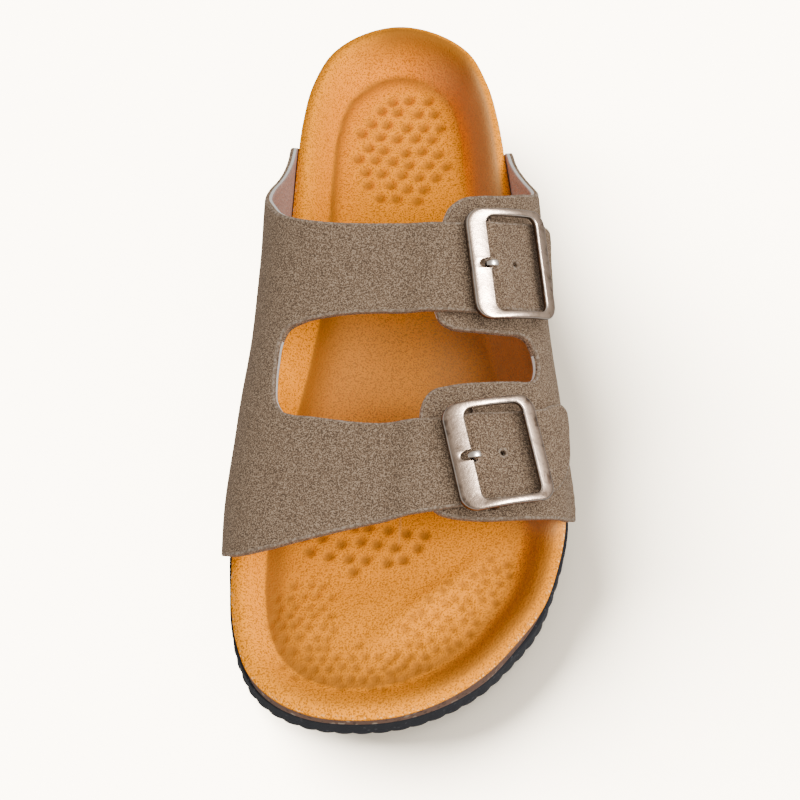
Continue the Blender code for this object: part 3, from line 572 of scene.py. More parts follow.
def ring_of(halves: dict[Side, Array]) -> Array:
    """One closed ring from its lateral and medial halves, which share both apexes."""
    return np.concatenate([halves[Side.LATERAL], halves[Side.MEDIAL][-2:0:-1]])


def there_and_back(index: Array) -> Array:
    """A middle line as a closed ring that runs out and back."""
    return np.concatenate([index, index[-2:0:-1]])


class NodeSheet:
    """A short way to lay out shader nodes and links."""

    def __init__(self, tree: bpy.types.NodeTree) -> None:
        """Works on one node tree."""
        self.tree = tree

    def put(self, socket: Socket, value: object) -> None:
        """Links a socket to an input, or sets its value.

        Args:
            socket: the input.
            value: a value, or the socket that feeds it.
        """
        if isinstance(value, bpy.types.NodeSocket):
            self.tree.links.new(value, socket)
        else:
            socket.default_value = value

    def add(self, kind: str, values: dict | None = None, **settings: object) -> bpy.types.Node:
        """Adds a node.

        Args:
            kind: Blender's name of the node type.
            values: values or sockets for its inputs, by name or number.
            settings: its properties.

        Returns:
            The node.
        """
        node = self.tree.nodes.new(kind)
        for key, value in settings.items():
            setattr(node, key, value)
        for key, value in (values or {}).items():
            self.put(node.inputs[key], value)
        return node

    def math(self, operation: str, a: object, b: object, clamp: bool = False) -> Socket:
        """Result of a math node, kept between 0 and 1 if clamp is set."""
        return self.add("ShaderNodeMath", {0: a, 1: b}, operation=operation, use_clamp=clamp).outputs[0]

    def span(self, value: object, low: float, high: float, to_low: float = 0.0, to_high: float = 1.0) -> Socket:
        """Maps the range from low to high to another with soft ends."""
        values = {"Value": value, "From Min": low, "From Max": high, "To Min": to_low, "To Max": to_high}
        return self.add("ShaderNodeMapRange", values, interpolation_type="SMOOTHSTEP").outputs["Result"]

    def mix(self, factor: object, a: object, b: object) -> Socket:
        """Mixes two colours, with factor as the share of the second."""
        a, b = (c if isinstance(c, bpy.types.NodeSocket) else (*c, 1.0) for c in (a, b))
        return self.add("ShaderNodeMix", {0: factor, 6: a, 7: b}, data_type="RGBA").outputs[2]

    def tint(self, base: Socket, colour: object, mask: Socket, weight: float) -> Socket:
        """Mixes a colour over a base where a mask is, at a weight."""
        return self.mix(self.math("MULTIPLY", mask, weight), base, colour)

    def noise(
        self, vector: Socket, scale: object, detail: float = 2.0, rough: float = 0.5, twist: float = 0.0
    ) -> bpy.types.Node:
        """A noise texture with its features per metre, finer layers, their weight and its distortion."""
        values = {"Vector": vector, "Scale": scale, "Detail": detail, "Roughness": rough, "Distortion": twist}
        return self.add("ShaderNodeTexNoise", values)

    def attribute(self, name: str) -> Socket:
        """A value stored on the mesh's points."""
        return self.add("ShaderNodeAttribute", attribute_name=name).outputs["Fac"]

    def group(self, tree: bpy.types.NodeTree, **values: object) -> bpy.types.bpy_prop_collection:
        """Outputs of a shared group with its own values."""
        return self.add("ShaderNodeGroup", values, node_tree=tree).outputs

    def bump(self, height: Socket, distance: float, strength: float) -> Socket:
        """Normal of a bump whose height of 1 stands for a distance in metres."""
        values = {"Height": height, "Distance": distance, "Strength": strength}
        return self.add("ShaderNodeBump", values).outputs["Normal"]


class SharedEffects:
    """Node groups that several finishes use, built once."""

    def __init__(self) -> None:
        """Builds every group."""
        self.fibre = self._fibre()
        self.mottle = self._mottle()
        self.specks = self._specks()

    @staticmethod
    def _start(name: str, inputs: dict[str, float], outputs: Sequence[str]) -> tuple:
        """Makes a group with its sockets.

        Args:
            name: name of the group.
            inputs: value inputs with their defaults, besides the coordinates.
            outputs: value outputs.

        Returns:
            The group, its node sheet, its input node and its output node.
        """
        tree = bpy.data.node_groups.new(name, "ShaderNodeTree")
        tree.interface.new_socket("Vector", in_out="INPUT", socket_type="NodeSocketVector")
        for key, value in inputs.items():
            tree.interface.new_socket(key, in_out="INPUT", socket_type="NodeSocketFloat").default_value = value
        for key in outputs:
            tree.interface.new_socket(key, in_out="OUTPUT", socket_type="NodeSocketFloat")
        sheet = NodeSheet(tree)
        return tree, sheet, sheet.add("NodeGroupInput"), sheet.add("NodeGroupOutput")

    def _fibre(self) -> bpy.types.NodeTree:
        """Short curled fibres and the gaps between them, as in a brushed nap.

        Returns:
            The node group.
        """
        inputs = {"Scale": 1400.0, "Curl": 0.8}
        tree, sheet, given, out = self._start("fibre_nap", inputs, ("Fibre", "Gap", "Height"))
        vector, scale, curl = given.outputs[:3]
        field = sheet.noise(vector, scale, 0.0, 0.5, curl).outputs["Fac"]
        sheet.put(out.inputs["Fibre"], sheet.span(field, 0.5, 0.66))
        sheet.put(out.inputs["Gap"], sheet.span(field, 0.5, 0.34))
        sheet.put(out.inputs["Height"], field)
        return tree

    def _mottle(self) -> bpy.types.NodeTree:
        """Soft patches of lighter and darker tone.

        Returns:
            The node group.
        """
        tree, sheet, given, out = self._start("mottle", {"Scale": 40.0, "Contrast": 0.5}, ("Tone",))
        vector, scale, contrast = given.outputs[:3]
        broad = sheet.noise(vector, scale, 4.0, 0.6, 0.4)
        centred = sheet.math("SUBTRACT", broad.outputs["Fac"], 0.5)
        tone = sheet.math("ADD", 0.5, sheet.math("MULTIPLY", centred, contrast), clamp=True)
        sheet.put(out.inputs["Tone"], tone)
        return tree

    def _specks(self) -> bpy.types.NodeTree:
        """Scattered chips of uneven size.

        Returns:
            The node group.
        """
        tree, sheet, given, out = self._start("specks", {"Scale": 500.0, "Share": 0.3}, ("Mask", "Tone"))
        vector, scale, share = given.outputs[:3]
        warp = sheet.noise(vector, sheet.math("MULTIPLY", scale, 1.4), 2.0)
        values = {0: warp.outputs["Color"], "Scale": sheet.math("DIVIDE", 0.8, scale)}
        shift = sheet.add("ShaderNodeVectorMath", values, operation="SCALE")
        moved = sheet.add("ShaderNodeVectorMath", {0: vector, 1: shift.outputs[0]}, operation="ADD")
        cell = sheet.add("ShaderNodeTexVoronoi", {"Vector": moved.outputs[0], "Scale": scale})
        tone = sheet.add("ShaderNodeSeparateColor", {0: cell.outputs["Color"]})
        chosen = sheet.math("LESS_THAN", tone.outputs[0], share)
        near = sheet.span(cell.outputs["Distance"], 0.25, 0.5, 1.0, 0.0)
        sheet.put(out.inputs["Mask"], sheet.math("MULTIPLY", chosen, near))
        sheet.put(out.inputs["Tone"], tone.outputs[1])
        return tree


@dataclass(frozen=True)
class Finish:
    """What every finish has: a name and a rough gloss."""

    name: str
    roughness: float

    def start(self) -> tuple[bpy.types.Material, NodeSheet, bpy.types.bpy_prop_collection, Socket]:
        """Starts the material.

        Returns:
            The material, its node sheet, its shader's inputs and the piece's own coordinates in metres.
        """
        made = bpy.data.materials.new(self.name)
        made.use_nodes = True
        shader = made.node_tree.nodes["Principled BSDF"].inputs
        shader["Roughness"].default_value = self.roughness
        sheet = NodeSheet(made.node_tree)
        return made, sheet, shader, sheet.add("ShaderNodeTexCoord").outputs["Object"]

    def patches(self, sheet: NodeSheet, tone: Socket, low: float, high: float) -> Socket:
        """The body colour in soft patches between two shares of itself."""
        return sheet.mix(tone, tuple(c * low for c in self.body), tuple(c * high for c in self.body))


@dataclass(frozen=True)
class NapFinish(Finish):
    """Brushed suede or lining with short curled fibres."""

    shade: Row = (0.085, 0.055, 0.035)
    body: Row = (0.258, 0.164, 0.100)
    tip: Row = (0.74, 0.55, 0.38)
    fibre_scale: float = 2700.0
    sheen: float = 0.12

    def make(self, effects: SharedEffects) -> bpy.types.Material:
        """Builds the material.

        Args:
            effects: the shared node groups.

        Returns:
            The material.
        """
        made, sheet, shader, place = self.start()
        nap = sheet.group(effects.fibre, Vector=place, Scale=self.fibre_scale, Curl=0.6)
        tone = sheet.group(effects.mottle, Vector=place, Scale=55.0, Contrast=1.1)["Tone"]
        base = sheet.tint(self.patches(sheet, tone, 0.93, 1.07), self.shade, nap["Gap"], 0.76)
        sheet.put(shader["Base Color"], sheet.tint(base, self.tip, nap["Fibre"], 0.49))
        sheet.put(shader["Normal"], sheet.bump(nap["Height"], 0.0006, 0.55))
        shader["Sheen Weight"].default_value = self.sheen
        shader["Sheen Roughness"].default_value = 0.6
        shader["Sheen Tint"].default_value = (*self.tip, 1.0)
        return made


@dataclass(frozen=True)
class FootbedFinish(Finish):
    """Tan suede cover of the footbed, with painted shade in its creases, dimples and shaded walls and painted
    light on its lit rim and slopes.
    """

    body: Row = (0.96, 0.305, 0.0)
    # Pale fibre tips, also the colour of the painted light on the rim and slopes
    pale: Row = (1.0, 0.325, 0.0)
    pit: Row = (0.48, 0.15, 0.0)
    # Colour of the painted shade in creases, dimples and on shaded slopes
    painted_shade_tone: Row = (0.33, 0.112, 0.010)
    # Colour of the painted shade on the outer walls and under the straps
    wall: Row = (0.48, 0.235, 0.088)
    fray: Row = (0.95, 0.47, 0.16)

    def make(self, effects: SharedEffects) -> bpy.types.Material:
        """Builds the material.

        Args:
            effects: the shared node groups.

        Returns:
            The material.
        """
        made, sheet, shader, place = self.start()
        nap = sheet.group(effects.fibre, Vector=place, Scale=1900.0, Curl=0.6)
        tone = sheet.group(effects.mottle, Vector=place, Scale=70.0, Contrast=1.2)["Tone"]
        lint = sheet.group(effects.specks, Vector=place, Scale=1100.0, Share=0.55)["Mask"]
        pits = sheet.noise(place, 420.0, 3.0, 0.6).outputs["Fac"]
        # Pale nap at the rim, with painted light on the rim, the lit medial slope, the toe ridge and round the
        # dimples
        base = sheet.tint(self.patches(sheet, tone, 0.88, 1.1), self.pale, sheet.attribute("rim"), 0.6)
        base = sheet.tint(base, self.pale, nap["Fibre"], 0.7)
        base = sheet.tint(base, self.pit, nap["Gap"], 0.95)
        base = sheet.mix(sheet.span(pits, 0.55, 0.75, 0.0, 0.42), base, self.pit)
        # Painted shade on the outer walls and on the floor under the straps
        base = sheet.mix(sheet.attribute("wall"), base, self.wall)
        # Painted shade in the creases, dimples, toe and heel slopes
        base = sheet.mix(sheet.attribute("burnish"), base, self.painted_shade_tone)
        base = sheet.mix(sheet.math("MULTIPLY", sheet.attribute("fray"), lint), base, self.fray)
        sheet.put(shader["Base Color"], base)
        height = sheet.math("ADD", nap["Height"], sheet.math("MULTIPLY", pits, 0.8))
        sheet.put(shader["Normal"], sheet.bump(height, 0.0005, 0.5))
        shader["Specular IOR Level"].default_value = 0.0
        return made


@dataclass(frozen=True)
class PlainFinish(Finish):
    """A quiet fibrous edge, such as the cream ply between suede and lining."""

    dark: Row = (0.735, 0.6975, 0.63)
    light: Row = (1.0, 1.0, 0.966)

    def make(self, effects: SharedEffects) -> bpy.types.Material:
        """Builds the material.

        Args:
            effects: the shared node groups.

        Returns:
            The material.
        """
        made, sheet, shader, place = self.start()
        tone = sheet.group(effects.mottle, Vector=place, Scale=400.0, Contrast=1.4)["Tone"]
        sheet.put(shader["Base Color"], sheet.mix(tone, self.dark, self.light))
        return made


@dataclass(frozen=True)
class CorkFinish(Finish):
    """Dark sealed cork with pale and dark chips."""

    body: Row = (0.21, 0.105, 0.065)
    pale: Row = (0.62, 0.47, 0.35)
    dark: Row = (0.07, 0.036, 0.024)

    def make(self, effects: SharedEffects) -> bpy.types.Material:
        """Builds the material.

        Args:
            effects: the shared node groups.

        Returns:
            The material.
        """
        made, sheet, shader, place = self.start()
        chips = sheet.group(effects.specks, Vector=place, Scale=420.0, Share=0.34)
        grit = sheet.group(effects.specks, Vector=place, Scale=760.0, Share=0.4)["Mask"]
        tone = sheet.group(effects.mottle, Vector=place, Scale=160.0, Contrast=1.5)["Tone"]
        base = sheet.tint(self.patches(sheet, tone, 0.7, 1.4), self.dark, grit, 0.7)
        pale = sheet.mix(chips["Tone"], self.body, self.pale)
        sheet.put(shader["Base Color"], sheet.tint(base, pale, chips["Mask"], 0.85))
        sheet.put(shader["Normal"], sheet.bump(sheet.math("SUBTRACT", chips["Mask"], grit), 0.0004, 0.6))
        return made


@dataclass(frozen=True)
class RubberFinish(Finish):
    """Matt blue-black foam rubber with dust and scuffs."""

    body: Row = (0.015, 0.016, 0.022)
    dust: Row = (0.11, 0.11, 0.12)

    def make(self, effects: SharedEffects) -> bpy.types.Material:
        """Builds the material.

        Args:
            effects: the shared node groups.

        Returns:
            The material.
        """
        made, sheet, shader, place = self.start()
        tone = sheet.group(effects.mottle, Vector=place, Scale=120.0, Contrast=1.6)["Tone"]
        grit = sheet.group(effects.specks, Vector=place, Scale=900.0, Share=0.12)["Mask"]
        foam = sheet.noise(place, 1600.0, 2.0, 0.6).outputs["Fac"]
        base = self.patches(sheet, tone, 0.75, 1.35)
        sheet.put(shader["Base Color"], sheet.tint(base, self.dust, grit, 0.5))
        sheet.put(shader["Normal"], sheet.bump(foam, 0.0003, 0.5))
        return made


@dataclass(frozen=True)
class NickelFinish(Finish):
    """Antique nickel, tarnished in random patches, with painted shade on the undersides and far faces of its
    bars and painted glints along their edges.
    """

    bright: Row = (0.46, 0.335, 0.25)
    # Tarnish colour, also the painted shade on the bars' undersides and far faces
    tarnish_and_painted_shade: Row = (0.085, 0.057, 0.040)
    # Colour of the painted glints
    glint: Row = (0.97, 0.90, 0.82)
    # Roughness where the tarnish and painted shade are full
    shade_and_tarnish_roughness: float = 0.36

    def make(self, effects: SharedEffects) -> bpy.types.Material:
        """Builds the material.

        Args:
            effects: the shared node groups.

        Returns:
            The material.
        """
        made, sheet, shader, place = self.start()
        tone = sheet.group(effects.mottle, Vector=place, Scale=260.0, Contrast=2.0)["Tone"]
        fine = sheet.noise(place, 900.0, 4.0, 0.7).outputs["Fac"]
        # Painted shade: dark where the crest value is low, on the bars' undersides and far faces and on the
        # less lit buckle; random tarnish patches are added
        low = sheet.math("SUBTRACT", 1.0, sheet.attribute("crest"), clamp=True)
        shade_and_tarnish_share = sheet.math("ADD", sheet.math("MULTIPLY", low, 0.95), sheet.span(tone, 0.4, 0.9, 0.0, 0.6))
        shade_and_tarnish_share = sheet.math("ADD", shade_and_tarnish_share, sheet.span(fine, 0.5, 0.8, 0.0, 0.25), clamp=True)
        base = sheet.mix(shade_and_tarnish_share, self.bright, self.tarnish_and_painted_shade)
        # Painted glints along the bars' edges
        sheet.put(shader["Base Color"], sheet.mix(sheet.attribute("glint"), base, self.glint))
        sheet.put(shader["Roughness"], sheet.span(shade_and_tarnish_share, 0.0, 1.0, self.roughness, self.shade_and_tarnish_roughness))
        shader["Metallic"].default_value = 1.0
        sheet.put(shader["Normal"], sheet.bump(fine, 0.0002, 0.35))
        return made


@dataclass(frozen=True)
class FloorFinish(Finish):
    """The pale studio floor."""

    body: Row = (0.90, 0.80, 0.655)

    def make(self, effects: SharedEffects) -> bpy.types.Material:
        """Builds the material.

        Args:
            effects: the shared node groups.

        Returns:
            The material.
        """
        made, sheet, shader, place = self.start()
        tone = sheet.group(effects.mottle, Vector=place, Scale=3.0, Contrast=0.4)["Tone"]
        sheet.put(shader["Base Color"], self.patches(sheet, tone, 0.99, 1.01))
        shader["Specular IOR Level"].default_value = 0.0
        return made


class Finishes:
    """Every material of the sandal and its stage, made once."""

    def __init__(self) -> None:
        """Makes the shared effects and the materials."""
        effects = SharedEffects()
        lining = {"shade": (0.42, 0.28, 0.235), "body": (0.55, 0.37, 0.31), "tip": (0.66, 0.48, 0.42)}
        edge = {"shade": (0.20, 0.14, 0.095), "body": (0.32, 0.225, 0.155), "tip": (0.60, 0.48, 0.37)}
        self.suede = NapFinish("taupe_suede", 0.95).make(effects)
        self.lining = NapFinish("rose_lining", 0.9, fibre_scale=1500.0, **lining).make(effects)
        self.edge = NapFinish("suede_cut_edge", 0.95, fibre_scale=1350.0, **edge).make(effects)
        self.ply = PlainFinish("cream_ply", 0.85).make(effects)
        self.footbed = FootbedFinish("tan_footbed_suede", 0.85).make(effects)
        self.cork = CorkFinish("sealed_cork", 0.7).make(effects)
        self.rubber = RubberFinish("foam_rubber", 0.75).make(effects)
        self.nickel = NickelFinish("antique_nickel", 0.28).make(effects)
        self.floor = FloorFinish("pale_floor", 0.9).make(effects)


@dataclass
class Footbed:
    """The suede cover of the footbed, with its creases and pressed dimples."""

    form: SoleForm
    segments: int = 430
    near_rim: Row = (0.0, 0.3, 0.7, 1.2, 1.8, 2.5, 3.2)
    first_step: float = 3.9
    ring_step: float = 0.75
    slope_rings: float = 17.0
    floor_rings: int = 45
    thickness: float = 2.0
    jitter: float = 0.85
    full_depth: float = 0.8
    far_in: float = 30.0
    seed: int = 7
    spots: list[Row] = field(init=False)

    def __post_init__(self) -> None:
        """Places the dimples."""
        self.spots = self.dimples()

    def dimples(self) -> list[Row]:
        """Places of the dimples as (across, station, radius, depth).

        Returns:
            Rows of across, station, radius and depth.
        """
        random = np.random.default_rng(self.seed)
        found = []
        for across, station, wide, far, turn, pitch, radius, depth in DIMPLE_FIELDS:
            c, s = math.cos(math.radians(turn)), math.sin(math.radians(turn))
            rows = int(far / (pitch * ROW_PITCH)) + 1
            columns = int(wide / pitch) + 1
            for r in range(-rows, rows + 1):
                for k in range(-columns, columns + 1):
                    u = (k + 0.5 * (r % 2)) * pitch + random.uniform(-self.jitter, self.jitter)
                    v = r * pitch * ROW_PITCH + random.uniform(-self.jitter, self.jitter)
                    if (u / wide) ** 2 + (v / far) ** 2 < 1.0:
                        found.append((across + u * c - v * s, station + u * s + v * c, radius, depth))
        return found

    def press(self, plan: Array, height: Array, tones: dict[str, Array]) -> Array:
        """Presses the dimples into the cover, paints shade into them and paints light in a ring round each.

        Args:
            plan: points as (across, station).
            height: their heights.
            tones: their named values, which change too.

        Returns:
            The points in the frame.
        """
        height = height.copy()
        painted_dimple_shade, painted_lip_highlight = np.zeros(len(plan)), np.zeros(len(plan))
        for across, station, radius, depth in self.spots:
            away = np.hypot(plan[:, 0] - across, plan[:, 1] - station) / radius
            near = away < 1.8
            dent = np.exp(-(away[near] ** 3) * 1.3)
            weight = min(1.0, depth / self.full_depth)
            height[near] -= depth * dent
            painted_dimple_shade[near] = np.maximum(painted_dimple_shade[near], dent * weight)
            painted_lip_highlight[near] = np.maximum(painted_lip_highlight[near], bell(away[near], 1.35, 0.3) * weight)
        # Painted shade in each dimple and a painted highlight in a ring round it
        tones["burnish"] = np.clip(tones["burnish"] + 0.8 * painted_dimple_shade, 0.0, 1.0)
        tones["rim"] = np.clip(tones["rim"] + 0.5 * painted_lip_highlight * (1.0 - painted_dimple_shade), 0.0, 1.0)
        return self.form.in_frame(plan, height)

    def tones(
        self, plan: Array, inward: Array, rim_station: Array, facing: Array, side: Side
    ) -> dict[str, Array]:
        """Where shade and light are painted on the cover, where its nap stays pale, and where its edge frays.

        Args:
            plan: points as (across, station).
            inward: distances from the rim.
            rim_station: stations of the rim points.
            facing: how far each rim point faces outwards.
            side: which side they lie on.

        Returns:
            The named values of each point, from 0 to 1.
        """
        past = inward - column(FOOTBED, 3 if side is Side.MEDIAL else 4, rim_station)
        on_floor = ramp(past, -0.5, 1.0)
        outer = ramp(facing, 0.05, 0.6)
        slope = ramp(inward, 1.8, 2.6) * (1.0 - ramp(inward, 9.0, 7.0))
        toe_end = ramp(rim_station, 195.0, 15.0)
        toe = toe_end * on_floor
        back = ramp(facing, -0.55, 0.5) * (1.0 - ramp(rim_station, 8.0, 22.0))
        front = ramp(rim_station, 240.0, 15.0)
        under_straps = ramp(rim_station, 95.0, 25.0) * (1.0 - ramp(rim_station, 190.0, 20.0))
        fade = 3.4 + 4.5 * ramp(rim_station, 60.0, 60.0)
        # Painted shade along the inside of the medial crease, fading onto the floor and weaker on the outer
        # side
        crease = np.where(past > 0, bell(past, 0.0, fade), bell(past, 0.0, 0.5))
        crease = crease * (1.0 - 0.75 * outer) * column(FOOTBED, 5, rim_station)
        # Painted highlight on the toe's diagonal ridge, which is also kept free of the painted toe shade
        across = plan[:, 0] - 11.0
        ridge = bell(plan[:, 1] + 0.75 * across, 227.0, 7.0) * bell(across, 0.0, 17.0)
        # Painted shade on the outer slopes, and on the floor under the straps, deeper towards the outer side
        wall = 0.9 * slope * outer * (1.0 - 0.7 * toe_end)
        wall = wall + under_straps * np.maximum(on_floor, outer) * (0.45 + 0.25 * ramp(plan[:, 0], 2.0, 18.0))
        # Painted shade in the crease, on the toe floor, on the shaded toe and heel slopes and inside the toe's
        # outer rim
        burnish = 0.95 * crease + 0.30 * toe * (1.0 - ridge)
        burnish = burnish + slope * (0.75 * outer * toe_end + 0.4 * front)
        burnish = burnish + 0.35 * outer * toe_end * (1.0 - ramp(inward, 2.0, 4.0))
        burnish = burnish + back * ramp(inward, 1.0, 2.0) * (1.0 - ramp(inward, 5.0, 5.5))
        # Pale nap at the rim with painted light on it, weaker on the outer side, and painted light on the
        # medial slope
        painted_slope_light = ramp(inward, 5.5, 2.5) * (1.0 - ramp(past, -0.6, 0.6))
        pale = 0.9 * bell(inward, 0.0, 3.2) * (1.0 - 0.8 * outer) + 0.8 * painted_slope_light * ramp(-facing, 0.1, 0.6)
        # Values: painted shade, painted light with the pale edge nap, painted wall shade, and the frayed edge
        return {
            "burnish": burnish,
            "rim": pale + 1.6 * ridge * toe,
            "wall": np.clip(wall, 0.0, 0.85),
            "fray": bell(inward, 0.0, 0.9),
        }

    def rings(self) -> list[dict]:
        """The rings of the upper face from rim to middle.

        Returns:
            The rings, as SoleForm.inward gives them.
        """
        steps = [*self.near_rim, *np.arange(self.first_step, self.slope_rings, self.ring_step)]
        shares = np.linspace(0.0, 1.0, self.floor_rings + 1)[:-1]
        rings = [self.form.inward(self.segments, d) for d in steps]
        return rings + [self.form.inward(self.segments, self.slope_rings, float(s)) for s in shares]

    def build(self, finishes: Finishes) -> list[bpy.types.Object]:
        """Builds the cover.

        Args:
            finishes: the materials.

        Returns:
            The new pieces.
        """
        form = self.form
        parts = MeshParts()
        tones: dict[str, list] = {"burnish": [], "rim": [], "wall": [], "fray": []}
        upper = []
        for halves in self.rings():
            points, tone = {}, {}
            for side, (plan, moved, rim_station, facing) in halves.items():
                tone[side] = self.tones(plan, moved, rim_station, facing, side)
                points[side] = self.press(plan, form.cover(plan, moved, rim_station, side), tone[side])
            upper.append(parts.add(ring_of(points)))
            for key, rows in tones.items():
                rows.append(ring_of({side: tone[side][key] for side in Side}))
        spine = form.spine(self.segments)
        level = form.floor(spine[:, 0], spine[:, 1])
        far_in, no_side = np.full(len(spine), self.far_in), np.zeros(len(spine))
        tone = self.tones(spine, far_in, spine[:, 1], no_side, Side.MEDIAL)
        upper.append(there_and_back(parts.add(self.press(spine, level, tone))))
        for key, rows in tones.items():
            rows.append(tone[key])
        under = []
        for distance in (0.0, *form.UNDER_RINGS):
            halves = form.inward(self.segments, distance)
            under.append(parts.add(ring_of(form.under_cover(halves, self.thickness))))
        under.append(there_and_back(parts.add(form.in_frame(spine, level - self.thickness))))
        parts.chain(upper)
        parts.chain([upper[0], *under])
        for key, rows in tones.items():
            shown = np.concatenate(rows)
            parts.values[key] = np.concatenate([shown, np.zeros(parts.count() - len(shown))])
        piece = parts.build("footbed_cover", [finishes.footbed])
        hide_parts("insole")
        return [piece]


@dataclass
class CorkBody:
    """The moulded cork between footbed and outsole."""

    form: SoleForm
    segments: int = 300
    gap: float = 0.35
    cover: float = 2.0
    levels: int = 14

    def build(self, finishes: Finishes) -> list[bpy.types.Object]:
        """Builds the cork.

        Args:
            finishes: the materials.

        Returns:
            The new pieces.
        """
        form, drop = self.form, self.cover + self.gap
        parts = MeshParts()
        top, foot, edge = {}, {}, {}
        for side, (plan, moved, station, _) in form.inward(self.segments, 0.0).items():
            edge[side] = form.side_points(side, self.segments, lambda s: -column(SOLE_EDGE, 3, s))
            top[side] = form.cover(plan, np.maximum(moved, form.RIM_LAND), station, side) - drop
            foot[side] = form.sole_height(edge[side][:, 1], 1.0) + self.gap
        rings = []
        for share in np.linspace(0.0, 1.0, self.levels + 1):
            rows = {s: form.in_frame(edge[s], top[s] * (1 - share) + foot[s] * share) for s in Side}
            rings.append(parts.add(ring_of(rows)))
        upper, lower = [rings[0]], [rings[-1]]
        for distance in form.UNDER_RINGS:
            halves = form.inward(self.segments, distance)
            upper.append(parts.add(ring_of(form.under_cover(halves, drop))))
            foot_rows = {s: form.sole_points(h[0], 1.0, self.gap) for s, h in halves.items()}
            lower.append(parts.add(ring_of(foot_rows)))
        spine = form.spine(self.segments)
        level = form.floor(spine[:, 0], spine[:, 1]) - drop
        upper.append(there_and_back(parts.add(form.in_frame(spine, level))))
        lower.append(there_and_back(parts.add(form.sole_points(spine, 1.0, self.gap))))
        for chain in (rings, upper, lower):
            parts.chain(chain)
        piece = parts.build("cork_body", [finishes.cork])
        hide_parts("midsole")
        return [piece]


@dataclass
class Outsole:
    """The rubber sheet with a scalloped side and a fine tread."""

    form: SoleForm
    ribs: int = 54
    per_rib: int = 10
    rib_depth: float = 0.45
    rib_rows: tuple[Row, ...] = (
        # share of the height, rib depth share, inset
        (1.0, 0.0, 0.45),
        (0.985, 0.0, 0.12),
        (0.95, 0.02, 0.0),
        (0.86, 0.2, 0.0),
        (0.72, 0.45, 0.0),
        (0.5, 0.65, 0.0),
        (0.25, 0.85, 0.0),
        (0.06, 1.0, 0.0),
        (0.02, 1.0, 0.2),
        (0.0, 1.0, 0.55),
    )
    top_ring: float = 8.0
    slope_rings: float = 17.0
    floor_rings: int = 35
    far_in: float = 30.0
    tread_pitch: float = 7.5
    tread_depth: float = 0.9
    zigzag_width: float = 14.0
    zigzag_swing: float = 9.0

    def tread(self, plan: Array, inward: Array) -> Array:
        """Depth of the zigzag grooves in the underside.

        Args:
            plan: points as (across, station).
            inward: their distances from the rim.

        Returns:
            The depths.
        """
        zigzag = np.abs(((plan[:, 0] / self.zigzag_width) % 1.0) - 0.5) * self.zigzag_swing
        wave = np.abs((((plan[:, 1] + zigzag) / self.tread_pitch) % 1.0) - 0.5) * 2.0
        return self.tread_depth * ramp(wave, 0.72, 0.2) * ramp(inward, 4.0, 1.0)

    def build(self, finishes: Finishes) -> list[bpy.types.Object]:
        """Builds the outsole.

        Args:
            finishes: the materials.

        Returns:
            The new pieces.
        """
        form = self.form
        parts = MeshParts()
        count = self.ribs * self.per_rib
        lobes = np.abs(np.sin(np.pi * np.arange(count + 1) / self.per_rib)) ** 0.8
        rings = []
        for share, depth, inset in self.rib_rows:
            rows = {}
            for side, edge in ((Side.MEDIAL, 1), (Side.LATERAL, 2)):
                plan = form.side_points(
                    side,
                    count,
                    lambda s: column(SOLE_EDGE, edge, s) + column(SOLE_EDGE, 4, s) * (1 - share) - inset,
                    self.rib_depth * depth * (lobes - 1.0),
                )
                rows[side] = form.sole_points(plan, share)
            rings.append(parts.add(ring_of(rows)))
        spine = form.spine(count)
        top = {s: form.sole_points(h[0], 1.0) for s, h in form.inward(count, self.top_ring).items()}
        upper = [rings[0], parts.add(ring_of(top)), there_and_back(parts.add(form.sole_points(spine, 1.0)))]
        under = [form.inward(count, float(d)) for d in np.arange(3.0, self.slope_rings, 1.0)]
        for share in np.linspace(0.0, 1.0, self.floor_rings + 1)[:-1]:
            under.append(form.inward(count, self.slope_rings, float(share)))
        lower = [rings[-1]]
        for halves in under:
            rows = {s: form.sole_points(h[0], 0.0, self.tread(h[0], h[1])) for s, h in halves.items()}
            lower.append(parts.add(ring_of(rows)))
        lift = self.tread(spine, np.full(len(spine), self.far_in))
        lower.append(there_and_back(parts.add(form.sole_points(spine, 0.0, lift))))
        for chain in (rings, upper, lower):
            parts.chain(chain)
        piece = parts.build("rubber_outsole", [finishes.rubber], 60.0)
        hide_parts("outsole")
        return [piece]


